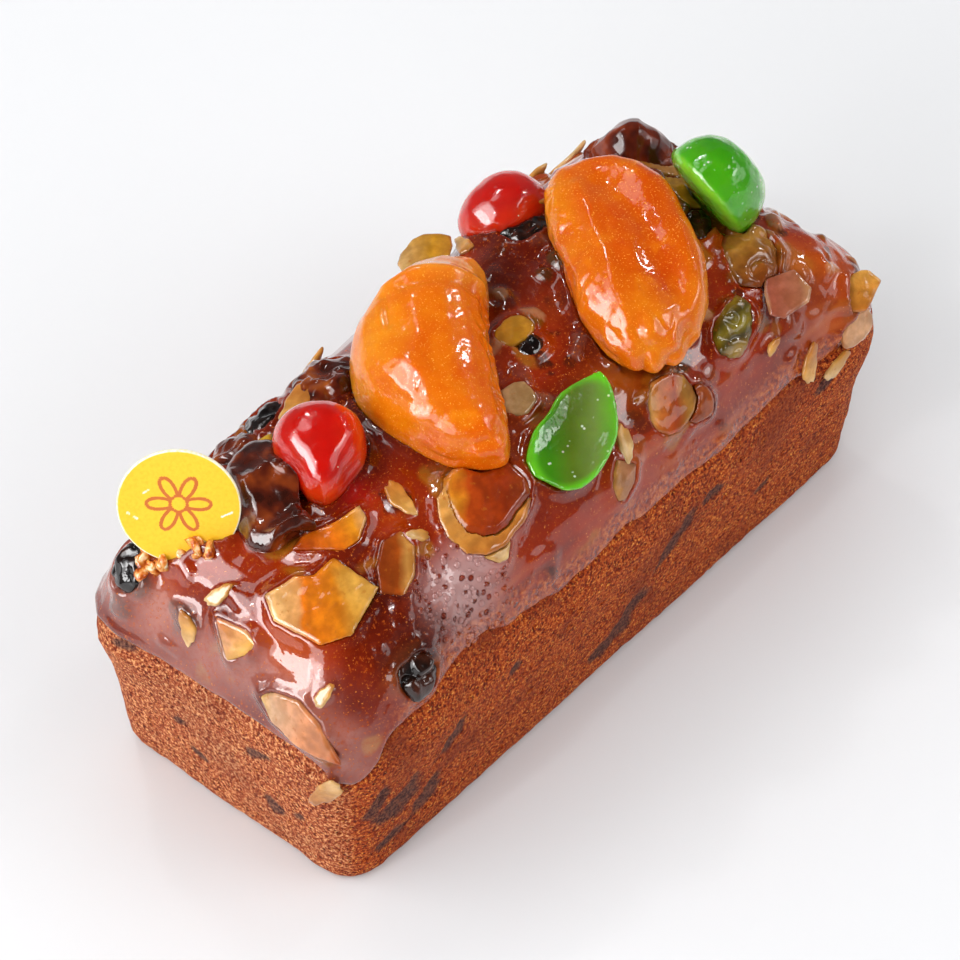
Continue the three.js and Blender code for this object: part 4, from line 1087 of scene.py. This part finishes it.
for k in range(HIDDEN_SLIVERS):
    along, down = (0.31 + GOLDEN * k) % 1, (0.17 + PLASTIC * k) % 1
    place_mm = (-66 + 132 * along, 14 + 20 * down, 66 - 20 * down**2)
    SLIVERS.append((place_mm, GOLDEN_TURN * k, 5 + 5 * ((0.4 + THIRD_STEP * k) % 1)))


def ring_faces(rings, around):
    """Faces of a closed shell: its points are a top point, rings of points, and a bottom point."""
    last = 1 + (rings - 1) * around
    pairs = [(k, (k + 1) % around) for k in range(around)]
    faces = [(0, 1 + here, 1 + beside) for here, beside in pairs]
    for start in range(1, last, around):
        below = start + around
        faces += [(start + here, below + here, below + beside, start + beside) for here, beside in pairs]
    return faces + [(last + beside, last + here, last + around) for here, beside in pairs]


def cushion(length, width, thick, seed, around=28, rings=9):
    """Points and faces of a thin, ragged, pointed cushion round the origin, in mm."""
    angles = np.linspace(0, 2 * math.pi, around, endpoint=False)
    ragged = 1 + 0.12 * np.sin(3 * angles + seed) + 0.07 * np.sin(7 * angles + 2.3 * seed)
    points = [(0, 0, thick / 2)]
    for ring in range(rings):
        level = math.pi * (ring + 1) / (rings + 1)
        reach = ragged * math.sin(level) ** 0.45
        high = thick / 2 * math.copysign(abs(math.cos(level)) ** 0.8, math.cos(level))
        points += [
            (length / 2 * r * math.cos(a), width / 2 * r * math.sin(a), high) for r, a in zip(reach, angles)
        ]
    points.append((0, 0, -thick / 2))
    return np.array(points), ring_faces(rings, around)


def mesh_piece(name, points, faces):
    mesh = bpy.data.meshes.new(name)
    mesh.from_pydata([tuple(p) for p in np.asarray(points) * MM], [], faces)
    piece = bpy.data.objects.new(name, mesh)
    bpy.context.scene.collection.objects.link(piece)
    mesh.update()
    return piece


def surface_tree(piece):
    faces = [list(face.vertices) for face in piece.data.polygons]
    return BVHTree.FromPolygons([vertex.co / MM for vertex in piece.data.vertices], faces)


# %% Each sliver lies on the finished surface, bent a little to follow it
glaze_top, crumb_top = surface_tree(glaze), surface_tree(crumb)
SLIVER_STOPS = [(-0.5, "#E2BE88"), (0, "#D8A050"), (0.5, "#C07A30")]
all_points, all_faces, all_colours = [], [], []
for seed, (place_mm, heading_deg, length) in enumerate(SLIVERS):
    on_crumb = place_mm[2] < glaze_edge(np.array([place_mm]))[0]
    spot, up, _, _ = (crumb_top if on_crumb else glaze_top).find_nearest(Vector(place_mm))
    points, faces = cushion(length, 0.45 * length, 1.1, seed)
    points[:, 2] += 0.02 * points[:, 0] ** 2
    across = up.cross(Vector((1, 0, 0))).normalized()
    turn = Matrix.Rotation(math.radians(heading_deg), 3, "Z")
    frame_turn = Matrix((across.cross(up), across, up)).transposed() @ turn
    start = sum(len(part) for part in all_points)
    all_faces += [[start + k for k in face] for face in faces]
    all_points.append(points @ np.array(frame_turn).T + np.array(spot) - 0.05 * np.array(up))
    all_colours.append(shades(points[:, 0] / length + 0.3 * math.sin(5 * seed), SLIVER_STOPS))
slivers = mesh_piece("almond_slivers", np.concatenate(all_points), all_faces)
store_colour(slivers, np.concatenate(all_colours))
finish_piece(slivers, candied_almond, "almond")
print(len(SLIVERS), "slivers")


# %% [markdown]
# ## The card tag
# A round of thin yellow card, white at its cut edge, pushed into the cake at one corner. Its print is
# a plain rosette of six petals. The card is flat, so it is made as rings of faces close enough
# together to carry the print and the small scuffs as paint.

# %% Tag: rings of faces, printed on both sides
TAG_RADIUS = 10.8
TAG_THICK = 0.9
TAG_MIDDLE = Vector((-63.3, 16, 65.6))
TAG_HEADING = 222
TAG_LEAN = 24
TAG_AROUND = 256
TAG_RINGS = 56
YELLOW, PRINT, WHITE = "#F5C720", "#C8661C", "#F7F4EC"
PETAL_MM, HEART_MM = 5.6, 1.5  # how long the petals of the print are, and the ring at its middle
SCUFFS = [
    ((-6.0, 2.6), (-5.2, 3.2)), ((7.4, -1.8), (9.2, -1.0)), ((-7.8, -2.0), (-7.2, -2.4)),
    ((3.8, -6.4), (4.8, -6.9)), ((-9.0, -1.2), (-8.6, -1.4)),
]


def rosette(across, up):
    """1 on the printed lines: a rose curve of six petals with a ring at its middle."""
    radius, angle = np.hypot(across, up), np.arctan2(up, across)
    petal = PETAL_MM * np.abs(np.cos(3 * angle))
    slope = np.sqrt(1 + (3 * PETAL_MM * np.sin(3 * angle) / np.maximum(radius, 1.0)) ** 2)
    lines = np.abs(radius - petal) / slope
    petals = (lines < 0.32) & (radius > HEART_MM)
    return np.maximum(petals, np.abs(radius - HEART_MM) < 0.28).astype(float)


BEVEL = 0.12
radii = np.linspace(0, TAG_RADIUS - BEVEL, TAG_RINGS)
rim = [(r, TAG_THICK / 2) for r in radii[1:]]
rim += [(TAG_RADIUS, TAG_THICK / 2 - BEVEL), (TAG_RADIUS, BEVEL - TAG_THICK / 2)]
rim += [(r, -TAG_THICK / 2) for r in radii[:0:-1]]
turns = np.linspace(0, 2 * math.pi, TAG_AROUND, endpoint=False)
flat = [(0, 0, TAG_THICK / 2)]
flat += [(r * math.cos(a), r * math.sin(a), high) for r, high in rim for a in turns]
flat.append((0, 0, -TAG_THICK / 2))
faces = ring_faces(len(rim), TAG_AROUND)
flat = np.array(flat)

facing = math.radians(TAG_HEADING)
lean = math.radians(TAG_LEAN)
out = Vector((math.cos(facing) * math.cos(lean), math.sin(facing) * math.cos(lean), math.sin(lean)))
level = Vector((0, 0, 1)).cross(out).normalized()
upright = out.cross(level)
stand = np.array([level, upright, out])
bow = 0.25 * np.sin(flat[:, 0] / 7)
placed = (flat + np.stack([0 * bow, 0 * bow, bow], axis=1)) @ stand + np.array(TAG_MIDDLE)
tag = mesh_piece("round_tag", placed, faces)
from_middle = np.hypot(flat[:, 0], flat[:, 1])
tag_colours = shades(rosette(flat[:, 0], flat[:, 1] - 0.6), [(0, YELLOW), (1, PRINT)])
white_edge = np.maximum(from_middle > TAG_RADIUS - 0.16, 0)
for start, end in SCUFFS:
    white_edge = np.maximum(white_edge, near_path(flat, [start, end]) < 0.16)
store_colour(tag, lay_over(tag_colours, rgb(WHITE), white_edge))
print(len(faces), "faces in the tag")

# %% Printed card: smooth bright yellow with a soft sheen, and hardly any grain
# Paper fibres are far finer. They are drawn 0.6 mm across, so that the card isn't quite even.
card, tree, shader, place = new_material("printed_card")
fibre = add(tree, NOISE, Vector=place, Scale=per_mm(0.6), Detail=3)
uneven = add(tree, RANGE, SMOOTH, Value=fibre, From_Min=0.3, From_Max=0.9)
ink = add(tree, MIX, TINT, _0=uneven, _6=add(tree, ATTRIBUTE, PAINT), _7=linear("#FFEE66"))
paper = add(tree, BUMP, Height=fibre, Distance=0.03 * MM)
wire(tree, shader, Base_Color=ink, Roughness=0.38, Normal=paper)
wire(tree, shader, Subsurface_Weight=0.1, Subsurface_Radius=(1.5 * MM, 1.2 * MM, 0.2 * MM))
finish_piece(tag, card, "card", "tag")


# %% [markdown]
# ## Bubbles and crumbs
# Hundreds of small things repeat here, so Geometry Nodes scatters them: clear domes where the glaze
# frothed, and broken sugary crumbs where the tag tore the crust. The carrier's own attribute says
# how thick they lie. The copies are realized and the result kept as plain mesh.

# %% Scatter with Geometry Nodes
FULL_TURN = 6.28


def scatter(name, carrier, where_stored, density, sizes_mm, flatness, seed, material, tumbled=False):
    """Flattened balls of random sizes, spread where the carrier's stored number is over 0.45."""
    group = bpy.data.node_groups.new(name, "GeometryNodeTree")
    group.interface.new_socket("Geometry", in_out="INPUT", socket_type="NodeSocketGeometry")
    group.interface.new_socket("Geometry", in_out="OUTPUT", socket_type="NodeSocketGeometry")
    amounts = {"Density": density, "Smallest": sizes_mm[0] * MM, "Largest": sizes_mm[1] * MM}
    number = {"in_out": "INPUT", "socket_type": "NodeSocketFloat"}
    sockets = [group.interface.new_socket(key, **number) for key in amounts]
    came_in = add(group, "NodeGroupInput").outputs
    cover = add(group, "GeometryNodeInputNamedAttribute", {"data_type": "FLOAT"}, Name=where_stored)
    where = add(group, MATH, {"operation": "GREATER_THAN"}, _0=cover.outputs[0], _1=0.45)
    spread = add(group, "GeometryNodeDistributePointsOnFaces", Mesh=came_in["Geometry"], Selection=where)
    wire(group, spread, Density=came_in["Density"], Seed=seed)
    ball = add(group, "GeometryNodeMeshIcoSphere", Radius=1.0, Subdivisions=2).outputs["Mesh"]
    shrink = add(group, "ShaderNodeCombineXYZ", X=1.0, Y=1.0, Z=flatness)
    lump = add(group, "GeometryNodeTransform", Geometry=ball, Scale=shrink)
    size = add(group, "FunctionNodeRandomValue", {"data_type": "FLOAT"}, Seed=seed + 1)
    wire(group, size, _2=came_in["Smallest"], _3=came_in["Largest"])
    rotation = spread.outputs["Rotation"]
    if tumbled:
        turn = add(group, "FunctionNodeRandomValue", {"data_type": "FLOAT_VECTOR"}, Seed=seed + 2)
        wire(group, turn, _1=(FULL_TURN, FULL_TURN, FULL_TURN))
        rotation = turn.outputs[0]
    copies = add(group, "GeometryNodeInstanceOnPoints", Points=spread.outputs["Points"], Instance=lump)
    wire(group, copies, Rotation=rotation, Scale=size.outputs[1])
    real = add(group, "GeometryNodeRealizeInstances", Geometry=copies)
    dressed = add(group, "GeometryNodeSetMaterial", Geometry=real, Material=material)
    add(group, "NodeGroupOutput", Geometry=dressed)
    piece = bpy.data.objects.new(name, carrier.data.copy())
    bpy.context.scene.collection.objects.link(piece)
    modifier = piece.modifiers.new(name, "NODES")
    modifier.node_group = group
    for socket, amount in zip(sockets, amounts.values()):
        modifier[socket.identifier] = amount
    return bake_modifiers(piece)


bubbles = scatter("glaze_bubbles", glaze, "foam", 0.5 / MM**2, (0.2, 0.7), 0.7, 7, wet)
print(len(bubbles.data.polygons), "faces of bubbles")
finish_piece(bubbles, wet, "crust")


# %% Torn sugary crumb: rough and bright, from orange to nearly white, where the crust broke
def torn_colour(tree, place):
    grain = add(tree, NOISE, Vector=place, Scale=per_mm(1.6))
    torn_stops = [(0.3, "#8A3208"), (0.45, "#C8641C"), (0.56, "#E8A050"), (0.68, "#F6E0B8")]
    return add(tree, RAMP, {"stops": torn_stops}, Fac=grain)


sugary = wet_fruit("torn_sugary_crumb", torn_colour, 0.3, (1.2, 0.6, 0.3), 0.25, (1.0, 0.3))
torn = scatter("torn_crumbs", glaze, "crumbs", 0.4 / MM**2, (0.8, 2.0), 0.5, 9, sugary, tumbled=True)
torn_points = points_of(torn)
push(torn, 0.45 * value_noise(torn_points, 1.3, 301) + 0.35 * value_noise(torn_points, 0.6, 302))
print(len(torn.data.polygons), "faces of crumbs")
finish_piece(torn, sugary, "crust")
